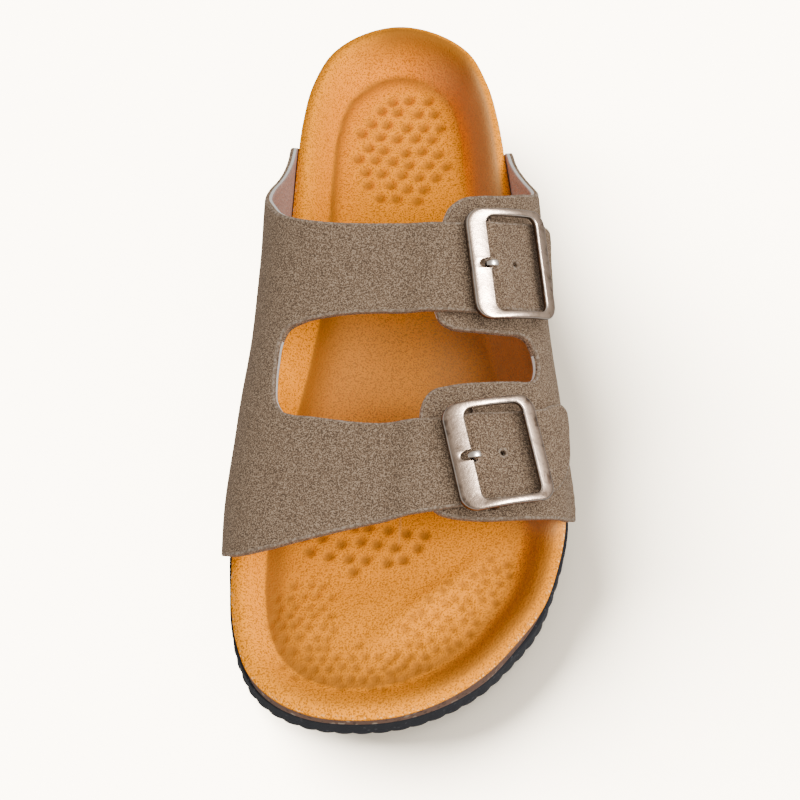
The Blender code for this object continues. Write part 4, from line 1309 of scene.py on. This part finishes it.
class FootLast:
    """The foot form under the straps, addressed by girth share and station."""

    WALL_GAP = 0.4
    WALL_FOOT = 9.6
    ARCH_POWER = {Side.MEDIAL: 2.6, Side.LATERAL: 2.2}

    def __init__(self, form: SoleForm) -> None:
        """Samples the sections of the last on a grid.

        Args:
            form: the sole that the last stands on.
        """
        self.form = form
        self.stations = np.arange(LAST[0][0], LAST[-1][0] + 1.0, 1.0)
        self.shares = np.linspace(-1.0, 1.0, 321)
        half = len(self.shares) // 2
        grid = np.zeros((len(self.stations), len(self.shares), 3))
        self.girths = np.zeros(len(self.stations))
        for i, station in enumerate(self.stations):
            outer, self.girths[i] = self.half_section(station, Side.LATERAL, half)
            inner, _ = self.half_section(station, Side.MEDIAL, half)
            grid[i, half:, 0::2] = outer
            grid[i, : half + 1, 0::2] = inner[::-1]
            grid[i, :, 1] = form.MIDDLE_STATION - station
        self.grid = grid
        self.normals = unit(np.cross(np.gradient(grid, axis=1), -np.gradient(grid, axis=0)))

    def half_section(self, station: float, side: Side, count: int) -> tuple[Array, float]:
        """One half of a section from the crest down to the sole.

        Args:
            station: where the section is.
            side: which half.
            count: number of steps along it.

        Returns:
            Points as (x, z), and the girth.
        """
        sign = side.value
        base = self.form.half_width(side, station) + self.WALL_GAP
        rim, crest, crest_x = (column(LAST, i, station) for i in (1, 2, 3))
        bulge = column(LAST, 5 if side is Side.LATERAL else 4, station)
        widest = column(LAST, 6, station)
        power = 2.0 / self.ARCH_POWER[side]
        turn = np.linspace(math.pi / 2, 0.0, 60)
        reach = base + bulge - sign * crest_x
        arch_x = sign * crest_x + reach * np.cos(turn) ** power
        arch_z = widest + (crest - widest) * np.sin(turn) ** power
        flank_z = np.linspace(widest, rim, 24)[1:]
        flank_x = base + bulge * np.sin(math.pi / 2 * (flank_z - rim) / (widest - rim))
        foot_z = np.linspace(rim, self.WALL_FOOT, 16)[1:]
        x = sign * np.concatenate([arch_x, flank_x, np.full_like(foot_z, base)])
        section = np.column_stack([x, np.concatenate([arch_z, flank_z, foot_z])])
        girth = float(np.linalg.norm(np.diff(section, axis=0), axis=1).sum())
        return by_length(section, count), girth

    def sample(self, values: Array, girth: Array, station: Array) -> Array:
        """Reads a grid of values between its points.

        Args:
            values: a value or vector for each point of the grid.
            girth: shares of the half girth.
            station: the stations.

        Returns:
            The values there.
        """
        i = np.clip(np.asarray(station) - self.stations[0], 0, len(self.stations) - 1.001)
        j = np.clip((np.asarray(girth) + 1) / 2 * (len(self.shares) - 1), 0, len(self.shares) - 1.001)
        a, b = i.astype(int), j.astype(int)
        f, g = (i - a)[..., None], (j - b)[..., None]
        low = values[a, b] * (1 - g) + values[a, b + 1] * g
        high = values[a + 1, b] * (1 - g) + values[a + 1, b + 1] * g
        return low * (1 - f) + high * f

    def point(self, girth: Array, station: Array, height: Array) -> Array:
        """A point a height off the last."""
        normal = unit(self.sample(self.normals, girth, station))
        return self.sample(self.grid, girth, station) + normal * np.asarray(height)[..., None]


@dataclass(frozen=True)
class BuckleSizes:
    """Sizes of a buckle: along the strap, across it, and its bars."""

    length: float = 30.0
    width: float = 32.6
    strap_half_width: float = 14.0
    wide_bar: float = 6.2
    far_bar: float = 4.6
    side_bar: float = 2.3
    thickness: float = 2.3
    bend_radius: float = 40.0
    lift: float = 0.8
    outer_corner: float = 5.0
    inner_corner: float = 2.6
    notch_depth: float = 3.5
    notch_half_width: float = 1.7
    axle_radius: float = 0.7
    axle_along: float = -2.5
    axle_lift: float = 1.9
    axle_spread: float = 5.4
    prong_hole: float = -6.0
    prong_hole_radius: float = 1.3
    spare_hole: float = 2.5
    spare_hole_radius: float = 0.8
    clearance: float = 0.35
    rear_extra: float = 0.9


SIZES = BuckleSizes()
WALL = 2.6
LAP_GAP = 0.4
LAP_RAMP = 0.10

# Where each buckle sits on its strap, and the strap's course there
BUCKLES: dict[Strap, Row] = {
    # strap: girth, station, course in girth, course in station, girth where the tab ends
    Strap.REAR: (0.364, 131.0, 0.20, -6.4, 0.155),
    Strap.FRONT: (0.374, 190.2, 0.262, -7.4, 0.130),
}
STRAP_SPLIT_STATION = 160.0


class BucklePlace:
    """The place of one buckle on its strap: along the strap, across it, and off its face."""

    def __init__(self, last: FootLast, strap: Strap) -> None:
        """Reads the buckle's row and works out the strap's course.

        Args:
            last: the last under the straps.
            strap: which strap.
        """
        girth, station, turn, drop, self.tab_end = BUCKLES[strap]
        self.last = last
        self.centre = (girth, station)
        self.girth_mm = float(np.interp(station, last.stations, last.girths))
        self.course = unit(np.array([turn * self.girth_mm, drop]))

    def pattern(self, along: Array, across: Array) -> tuple[Array, Array]:
        """Girth share and station of a place on the strap.

        Args:
            along: distances along the strap from the buckle's middle.
            across: distances across it.

        Returns:
            The girth shares and the stations.
        """
        x = along * self.course[0] - across * self.course[1]
        y = along * self.course[1] + across * self.course[0]
        return self.centre[0] + x / self.girth_mm, self.centre[1] + y

    def along(self, girth: Array, station: Array) -> Array:
        """Distance along the strap from the buckle's middle."""
        x = (girth - self.centre[0]) * self.girth_mm
        return x * self.course[0] + (station - self.centre[1]) * self.course[1]

    def lap(self, girth: Array, station: Array) -> Array:
        """How far the strap's inner face stands off the last, over the tab and the axle.

        Args:
            girth: shares of the half girth.
            station: the stations.

        Returns:
            The heights.
        """
        over = smooth_step((girth - self.tab_end + LAP_RAMP) / LAP_RAMP)
        ridge = bell(self.along(girth, station), SIZES.axle_along - 0.8, SIZES.axle_spread)
        return (WALL + LAP_GAP) * over + SIZES.axle_lift * ridge * over

    def strap_point(self, along: Array, across: Array, height: Array) -> Array:
        """A point a height off the strap's outer face."""
        girth, station = self.pattern(np.asarray(along, float), np.asarray(across, float))
        return self.last.point(girth, station, self.lap(girth, station) + WALL + height)

    def under_strap(self, along: Array, across: Array, height: Array) -> Array:
        """A point a height off the tab's outer face, under the strap."""
        girth, station = self.pattern(np.asarray(along, float), np.asarray(across, float))
        return self.last.point(girth, station, np.full_like(girth, WALL + height))


class RigidFrame:
    """Axes of a rigid buckle frame laid on its strap, lifted until its bars are clear."""

    def __init__(self, place: BucklePlace) -> None:
        """Fits the axes to the strap under the bars.

        Args:
            place: the buckle's place on its strap.
        """
        half = SIZES.length / 2
        along, across = np.meshgrid(
            np.linspace(-half - 3.0, half + 3.0, 41),
            np.linspace(-SIZES.strap_half_width, SIZES.strap_half_width, 9),
        )
        flat = along.ravel()
        strap = place.strap_point(flat, across.ravel(), np.zeros(along.size))
        near = strap[(flat < SIZES.wide_bar - half) & (flat > -half)]
        far = strap[(flat > half - SIZES.far_bar) & (flat < half)]
        bars = np.concatenate([near, far])
        off = np.linalg.svd(bars - bars.mean(axis=0))[2][2]
        off = off if off[2] > 0 else -off
        course = far.mean(axis=0) - near.mean(axis=0)
        course = unit(course - off * np.dot(course, off))
        self.axes = np.stack([course, np.cross(off, course), off])
        middle = (near.mean(axis=0) + far.mean(axis=0)) / 2
        self.origin = middle - course * (SIZES.wide_bar - SIZES.far_bar) / 4
        seen = (strap - self.origin) @ self.axes.T
        gap = SIZES.clearance
        under = (seen[:, 0] < SIZES.wide_bar - half + gap) | (seen[:, 0] > half - SIZES.far_bar - gap)
        height = seen[under, 2] + seen[under, 0] ** 2 / (2 * SIZES.bend_radius)
        self.origin = self.origin + off * (height.max() + SIZES.lift)

    def world(self, along: Array, across: Array, height: Array) -> Array:
        """Points from the frame's own axes, bent to its radius along the strap."""
        bent = height - along**2 / (2 * SIZES.bend_radius)
        return self.origin + np.stack([along, across, bent], axis=-1) @ self.axes


@dataclass
class UpperHalf:
    """One half of the upper: a hollow wall of suede, ply and lining cut to its pattern."""

    name: str
    node: str
    last: FootLast
    edge: Sequence[Row]
    holes: Sequence[Array]
    lap: Callable[[Array, Array], Array]
    girth_scale: float = 95.0
    edge_step: float = 1.1
    grid: float = 2.2
    rim_rows: tuple[Row, ...] = (
        # height in the wall, inset from the cut edge, slot
        (2.6, 0.75, 0),
        (2.52, 0.35, 3),
        (2.3, 0.08, 3),
        (2.0, 0.0, 3),
        (1.25, 0.0, 0),
        (0.35, 0.0, 1),
        (0.1, 0.08, 2),
        (0.0, 0.3, 2),
    )

    def loop(self) -> Array:
        """The closed cutting pattern in millimetres: the sole line, then the free edge.

        Returns:
            The pattern's points.
        """
        scale = np.array([self.girth_scale, 1.0])
        sole = np.array([self.edge[-1], self.edge[0]], float) * scale
        free = smooth_path(np.array(self.edge) * scale, closed=False)
        runs = []
        for path in (sole, free):
            length = np.linalg.norm(np.diff(path, axis=0), axis=1).sum()
            runs.append(by_length(path, max(1, round(length / self.edge_step)))[:-1])
        return np.concatenate(runs)

    @staticmethod
    def inside(loop: Array, points: Array) -> Array:
        """Which points lie inside a closed loop.

        Args:
            loop: the closed loop.
            points: the points to test.

        Returns:
            True for each point inside.
        """
        x, y = points[:, 0], points[:, 1]
        result = np.zeros(len(points), bool)
        for (x1, y1), (x2, y2) in zip(loop, np.roll(loop, -1, axis=0)):
            if y1 != y2:
                result ^= ((y1 > y) != (y2 > y)) & (x < (x2 - x1) * (y - y1) / (y2 - y1) + x1)
        return result

    def fill(self, rims: Sequence[Array]) -> tuple[Array, Array]:
        """Fills the pattern with triangles.

        Args:
            rims: the cut edge, then the holes.

        Returns:
            The pattern's points, with those of the rims first, and its triangles.
        """
        low, high = rims[0].min(axis=0), rims[0].max(axis=0)
        xs = np.arange(low[0], high[0], self.grid)
        ys = np.arange(low[1], high[1], self.grid * ROW_PITCH)
        grid = np.array([(x + (n % 2) * self.grid / 2, y) for n, y in enumerate(ys) for x in xs])
        grid = grid[self.inside(rims[0], grid)]
        for rim in rims:
            keep = np.ones(len(grid), bool)
            for point in rim:
                keep &= np.hypot(*(grid - point).T) > self.edge_step * 0.95
            grid = grid[keep]
        for hole in rims[1:]:
            grid = grid[~self.inside(hole, grid)]
        points = np.concatenate([*rims, grid])
        edges, start = [], 0
        for rim in rims:
            edges += [(start + i, start + (i + 1) % len(rim)) for i in range(len(rim))]
            start += len(rim)
        made = delaunay_2d_cdt([Vector(p) for p in points], edges, [], 0, 1e-6)
        faces = np.array(made[2])
        middle = points[faces].mean(axis=1)
        keep = self.inside(rims[0], middle)
        for hole in rims[1:]:
            keep &= ~self.inside(hole, middle)
        return points, faces[keep]

    def place(self, pattern: Array, height: float) -> Array:
        """Lays pattern points on the last at a height in the wall."""
        girth, station = pattern[:, 0] / self.girth_scale, pattern[:, 1]
        return self.last.point(girth, station, self.lap(girth, station) + height)

    def build(self, finishes: Finishes) -> list[bpy.types.Object]:
        """Builds the wall with its rounded cut edges.

        Args:
            finishes: the materials.

        Returns:
            The new pieces.
        """
        rims = [self.loop(), *self.holes]
        pattern, faces = self.fill(rims)
        inward = np.zeros_like(pattern)
        start = 0
        for n, rim in enumerate(rims):
            along = unit(np.roll(rim, -1, axis=0) - np.roll(rim, 1, axis=0))
            normal = np.stack([-along[:, 1], along[:, 0]], axis=-1)
            probe = self.inside(rim, rim + normal * 0.05)
            turned = normal if probe.mean() > 0.5 else -normal
            inward[start : start + len(rim)] = turned if n == 0 else -turned
            start += len(rim)
        parts = MeshParts()
        ends = (self.rim_rows[0], self.rim_rows[-1])
        outer, inner = (parts.add(self.place(pattern + inward * row[1], row[0])) for row in ends)
        for face in faces:
            parts.face(outer[face])
            parts.face(inner[face[::-1]], 2)
        start = 0
        for rim in rims:
            index = np.arange(start, start + len(rim))
            start += len(rim)
            above = outer[index]
            turned = inward[index, 1] < -0.45
            for height, inset, slot in self.rim_rows[1:-1]:
                below = parts.add(self.place(rim + inward[index] * inset, height))
                hidden = turned & (slot in (1, 2))
                parts.strip(above, below, np.where(hidden, 0, int(slot)))
                above = below
            parts.strip(above, inner[index], np.where(turned, 0, 2))
        piece = parts.build(self.name, [finishes.suede, finishes.ply, finishes.lining, finishes.edge], 60.0)
        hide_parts(self.node)
        return [piece]


@dataclass
class Upper:
    """Both halves of the upper."""

    last: FootLast
    places: dict[Strap, BucklePlace]

    def strap_lap(self, girth: Array, station: Array) -> Array:
        """Lap of the strap piece at any place of its pattern.

        Args:
            girth: shares of the half girth.
            station: the stations.

        Returns:
            The heights off the last.
        """
        rear = self.places[Strap.REAR].lap(girth, station)
        front = self.places[Strap.FRONT].lap(girth, station)
        return np.where(station < STRAP_SPLIT_STATION, rear, front)

    @staticmethod
    def no_lap(girth: Array, station: Array) -> Array:
        """The lateral piece lies on the last all over."""
        return np.zeros_like(girth)

    @staticmethod
    def hole(place: BucklePlace, along: float, radius: float) -> Array:
        """A round hole in a strap, in pattern millimetres.

        Args:
            place: the buckle's place.
            along: where the hole is along the strap.
            radius: its radius.

        Returns:
            The rim of the hole.
        """
        turn = np.arange(16) / 16 * 2 * math.pi
        girth, station = place.pattern(along + radius * np.cos(turn), radius * np.sin(turn))
        return np.column_stack([girth * UpperHalf.girth_scale, station])

    def build(self, finishes: Finishes) -> list[bpy.types.Object]:
        """Builds both halves.

        Args:
            finishes: the materials.

        Returns:
            The new pieces.
        """
        holes = []
        for place in self.places.values():
            holes.append(self.hole(place, SIZES.prong_hole, SIZES.prong_hole_radius))
            holes.append(self.hole(place, SIZES.spare_hole, SIZES.spare_hole_radius))
        medial = FRONT_STRAP_FRONT + FRONT_STRAP_END + WINDOW_MEDIAL + REAR_STRAP_END + REAR_EDGE_MEDIAL
        lateral = REAR_EDGE_LATERAL + TABS_LATERAL + FRONT_EDGE_LATERAL
        halves = [
            UpperHalf("suede_inner_half", "upper_medial", self.last, medial, holes, self.strap_lap),
            UpperHalf("suede_outer_half", "upper_lateral", self.last, lateral, [], self.no_lap),
        ]
        return [piece for half in halves for piece in half.build(finishes)]


@dataclass
class Buckle:
    """One fastened buckle: frame, axle and prong."""

    strap: Strap
    place: BucklePlace
    # Share of painted top light on this buckle's frame; a lower share paints it darker
    painted_light_share: float
    corner_points: int = 9
    section_points: int = 20
    edge_round: float = 1.3
    prong_steps: int = 26
    prong_points: int = 16
    prong_half_width: float = 1.0
    prong_half_height: float = 0.5
    rigid: RigidFrame = field(init=False)

    def __post_init__(self) -> None:
        """Lays the frame's axes on the strap."""
        self.rigid = RigidFrame(self.place)

    def loops(self) -> tuple[Array, Array]:
        """Outer and inner outline of the frame with matching points, as (along, across).

        Returns:
            Both outlines.
        """
        long, wide = SIZES.length / 2, SIZES.width / 2
        wide = wide + (SIZES.rear_extra if self.strap is Strap.REAR else 0.0)
        far, near, side = long - SIZES.far_bar, long - SIZES.wide_bar, wide - SIZES.side_bar
        round_out, round_in = SIZES.outer_corner, SIZES.inner_corner
        bar = [(0.0, across) for across in (8.0, 5.5, 3.5)]
        notch = [
            (SIZES.notch_depth * math.sin(t), SIZES.notch_half_width * math.cos(t))
            for t in np.linspace(0.0, math.pi, 13)
        ]
        outer, inner = [], []
        for a, b, start in ((1, 1, 0.0), (-1, 1, 0.5), (-1, -1, 1.0), (1, -1, 1.5)):
            end = far if a > 0 else near
            turn = (start + np.linspace(0.0, 0.5, self.corner_points)) * math.pi
            ring = np.stack([np.cos(turn), np.sin(turn)], axis=-1)
            outer += list(ring * round_out + (a * (long - round_out), b * (wide - round_out)))
            inner += list(ring * round_in + (a * (end - round_in), b * (side - round_in)))
            if a == b:
                for share in np.linspace(0.12, 0.88, 9):
                    to = share if b > 0 else 1 - share
                    outer.append((long - round_out - to * (SIZES.length - 2 * round_out), b * wide))
                    inner.append((far - round_in - to * (far + near - 2 * round_in), b * side))
            if (a, b) == (-1, 1):
                for depth, across in [*bar, *notch, *((d, -c) for d, c in reversed(bar))]:
                    outer.append((-long, across))
                    inner.append((-near - depth, across))
        return np.array(outer), np.array(inner)

    def frame(self, finishes: Finishes) -> bpy.types.Object:
        """The cast frame with a rounded section.

        Args:
            finishes: the materials.

        Returns:
            The piece.
        """
        outer, inner = self.loops()
        parts = MeshParts()
        middle, reach = (outer + inner) / 2, (outer - inner) / 2
        half = np.linalg.norm(reach, axis=1)
        edge = np.minimum(half, self.edge_round)
        rings, crest, glint = [], [], []
        for turn in np.arange(self.section_points) / self.section_points * 2 * math.pi:
            along, up = squared(turn)
            spread = np.where(half > edge, (half - edge + edge * abs(along)) * np.sign(along), half * along)
            plan = middle + reach / half[:, None] * spread[:, None]
            height = np.full(len(plan), SIZES.thickness * (0.5 + 0.5 * up))
            rings.append(parts.add(self.rigid.world(plan[:, 0], plan[:, 1], height)))
            # Painted light and shade: bright on top of each bar, dark underneath and on the far bar's outer
            # face
            far_face_shade = ramp(plan[:, 0], SIZES.length / 2 - 4.2, 2.0)
            crest.append(np.clip(0.05 + 1.3 * up, 0.0, 1.0) * (1.0 - 0.45 * far_face_shade) * self.painted_light_share)
            # Painted glints along the bars' inner and outer edges
            shine = bell(math.degrees(turn), 144.0, 10.0) + 0.5 * bell(math.degrees(turn), 36.0, 10.0)
            glint.append(np.full(len(plan), shine))
        parts.chain(rings + rings[:1])
        parts.values = {"crest": np.concatenate(crest), "glint": np.concatenate(glint)}
        piece = parts.build(f"cast_frame_{self.strap.value}", [finishes.nickel])
        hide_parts(f"buckle_frame_{self.strap.value}")
        return piece

    def prong(self, finishes: Finishes) -> bpy.types.Object:
        """The flattened tongue from the strap's hole into the notch.

        Args:
            finishes: the materials.

        Returns:
            The piece.
        """
        bar, hole = SIZES.wide_bar - SIZES.length / 2, SIZES.prong_hole
        beside = SIZES.axle_along - SIZES.axle_radius - SIZES.clearance
        path = [
            self.place.under_strap(beside, 0.0, 1.15),
            self.place.under_strap((beside + hole) / 2, 0.0, 1.15),
            self.place.strap_point(hole + 0.3, 0.0, -1.4),
            self.place.strap_point(hole, 0.0, 0.2),
        ]
        for along, height in ((hole - 0.7, 1.5), (bar + 0.8, 2.0), (bar - 0.2, 2.0), (bar - 1.1, 1.3)):
            path.append(self.rigid.world(np.array(along), np.array(0.0), np.array(height)))
        line = by_length(smooth_path(np.array(path), closed=False), self.prong_steps)
        parts = MeshParts()
        wave = squared(np.arange(self.prong_points) / self.prong_points * 2 * math.pi)
        rings = []
        for n, (point, way) in enumerate(zip(line, unit(np.gradient(line, axis=0)))):
            wide = unit(self.rigid.axes[1] - way * np.dot(self.rigid.axes[1], way))
            swell = 0.7 + 0.3 * min(1.0, 6.0 * (1 - n / self.prong_steps))
            across = np.outer(wave[0], wide) * self.prong_half_width
            upward = np.outer(wave[1], np.cross(way, wide)) * self.prong_half_height
            rings.append(parts.add(point + (across + upward) * swell))
        parts.chain(rings)
        for ring in (rings[0], rings[-1][::-1]):
            parts.face(ring)
        # The prong is painted fully lit, with a half-strength painted glint
        parts.values = {"crest": np.full(parts.count(), 1.0), "glint": np.full(parts.count(), 0.5)}
        piece = parts.build(f"prong_{self.strap.value}", [finishes.nickel])
        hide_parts(f"buckle_prong_{self.strap.value}")
        return piece

    def build(self, finishes: Finishes) -> list[bpy.types.Object]:
        """Builds frame and prong, and dresses the axle.

        Args:
            finishes: the materials.

        Returns:
            The pieces of this buckle.
        """
        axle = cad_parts[f"buckle_axle_{self.strap.value}"]
        axle.data.materials.clear()
        axle.data.materials.append(finishes.nickel)
        return [self.frame(finishes), self.prong(finishes), axle]


@dataclass
class Studio:
    """Camera, floor and soft light."""

    elevation: float = 57.0
    distance: float = 0.560
    target: Row = (0.0, -0.0033, 0.0)
    focal: float = 73.35
    sensor: float = 36.0
    floor_size: float = 6.0
    floor_drop: float = 0.0004
    world_colour: Row = (1.0, 0.985, 0.96, 1.0)
    world_strength: float = 0.6
    lights: tuple = (
        # name, pieces it falls on, place, aim, side in metres, power in watts
        ("key", "footbed", (0.60, -0.44, 0.78), (0.0, 0.0, 0.03), 0.62, 23.5),
        ("shine", "metal", (0.70, -0.26, 0.80), (0.02, 0.0, 0.06), 0.36, 64.0),
        ("soft", "other", (0.55, -0.25, 1.05), (0.0, 0.0, 0.03), 1.2, 9.5),
    )
    floor_lights: tuple = (
        # name, energy, spread in degrees, direction
        ("floor_light", 56.5, 61.0, (0.76, -0.46, -0.70)),
        ("floor_dome", 5.0, 150.0, (0.0, 0.0, -1.0)),
    )
    floor_light_colour: Row = (1.0, 0.99, 0.96)

    def camera(self) -> None:
        """The camera at the photograph's angle."""
        data = bpy.data.cameras.new("camera")
        data.lens = self.focal
        data.sensor_width = self.sensor
        data.clip_start = 0.01
        made = link_new("camera", data)
        rise = math.radians(self.elevation)
        back = Vector((0.0, -math.cos(rise), math.sin(rise)))
        made.location = Vector(self.target) + back * self.distance
        made.rotation_euler = (math.pi / 2 - rise, 0.0, 0.0)
        bpy.context.scene.camera = made

    def floor(self, finishes: Finishes) -> bpy.types.Object:
        """The pale floor, large enough for every view.

        Args:
            finishes: the materials.

        Returns:
            The floor.
        """
        half = self.floor_size / 2
        mesh = bpy.data.meshes.new("floor")
        corners = [(-half, -half, 0), (half, -half, 0), (half, half, 0), (-half, half, 0)]
        mesh.from_pydata(corners, [], [(0, 1, 2, 3)])
        mesh.materials.append(finishes.floor)
        made = link_new("floor", mesh)
        made.location.z = -self.floor_drop
        made.visible_diffuse = False
        made.visible_glossy = False
        return made

    @staticmethod
    def lamp(
        data: bpy.types.Light, energy: float, way: Vector, pieces: Sequence[bpy.types.Object]
    ) -> bpy.types.Object:
        """Adds a light that falls on some pieces alone.

        Args:
            data: the light's data.
            energy: its strength.
            way: the direction it shines in.
            pieces: what it falls on.

        Returns:
            The light.
        """
        data.energy = energy
        made = link_new(data.name, data)
        made.rotation_euler = way.to_track_quat("-Z", "Y").to_euler()
        lit = bpy.data.collections.new(f"lit_by_{data.name}")
        for piece in pieces:
            lit.objects.link(piece)
        made.light_linking.receiver_collection = lit
        return made

    def build(self, finishes: Finishes, pieces: Sequence[bpy.types.Object]) -> None:
        """Builds camera, floor and lights.

        Args:
            finishes: the materials.
            pieces: the dressed pieces of the sandal.
        """
        self.camera()
        world = bpy.data.worlds.new("studio")
        world.use_nodes = True
        background = world.node_tree.nodes["Background"].inputs
        background["Color"].default_value = self.world_colour
        background["Strength"].default_value = self.world_strength
        bpy.context.scene.world = world
        kinds = {"footbed": [], "metal": [], "other": [], "floor": [self.floor(finishes)]}
        for piece in pieces:
            metal = piece.name.startswith(("cast_frame", "prong", "buckle_axle"))
            kind = "footbed" if piece.name == "footbed_cover" else "metal" if metal else "other"
            kinds[kind].append(piece)
        for name, kind, place, aim, size, power in self.lights:
            data = bpy.data.lights.new(name, "AREA")
            data.size = size
            self.lamp(data, power, Vector(aim) - Vector(place), kinds[kind]).location = place
        for name, energy, spread, aim in self.floor_lights:
            data = bpy.data.lights.new(name, "SUN")
            data.angle = math.radians(spread)
            data.color = self.floor_light_colour
            self.lamp(data, energy, Vector(aim), kinds["floor"])


def main() -> None:
    """Builds the sandal and its studio, and reports each piece."""
    logging.basicConfig(level=logging.INFO, format="%(message)s")
    finishes = Finishes()
    form = SoleForm()
    last = FootLast(form)
    places = {strap: BucklePlace(last, strap) for strap in Strap}
    assemblies = [
        Footbed(form),
        CorkBody(form),
        Outsole(form),
        Upper(last, places),
        # The front buckle gets less painted light than the rear one
        Buckle(Strap.REAR, places[Strap.REAR], painted_light_share=1.0),
        Buckle(Strap.FRONT, places[Strap.FRONT], painted_light_share=0.7),
    ]
    pieces = []
    for assembly in assemblies:
        for piece in assembly.build(finishes):
            LOG.info("%s: %d faces", piece.name, len(piece.data.polygons))
            pieces.append(piece)
    Studio().build(finishes, pieces)


if __name__ == "__main__":
    main()
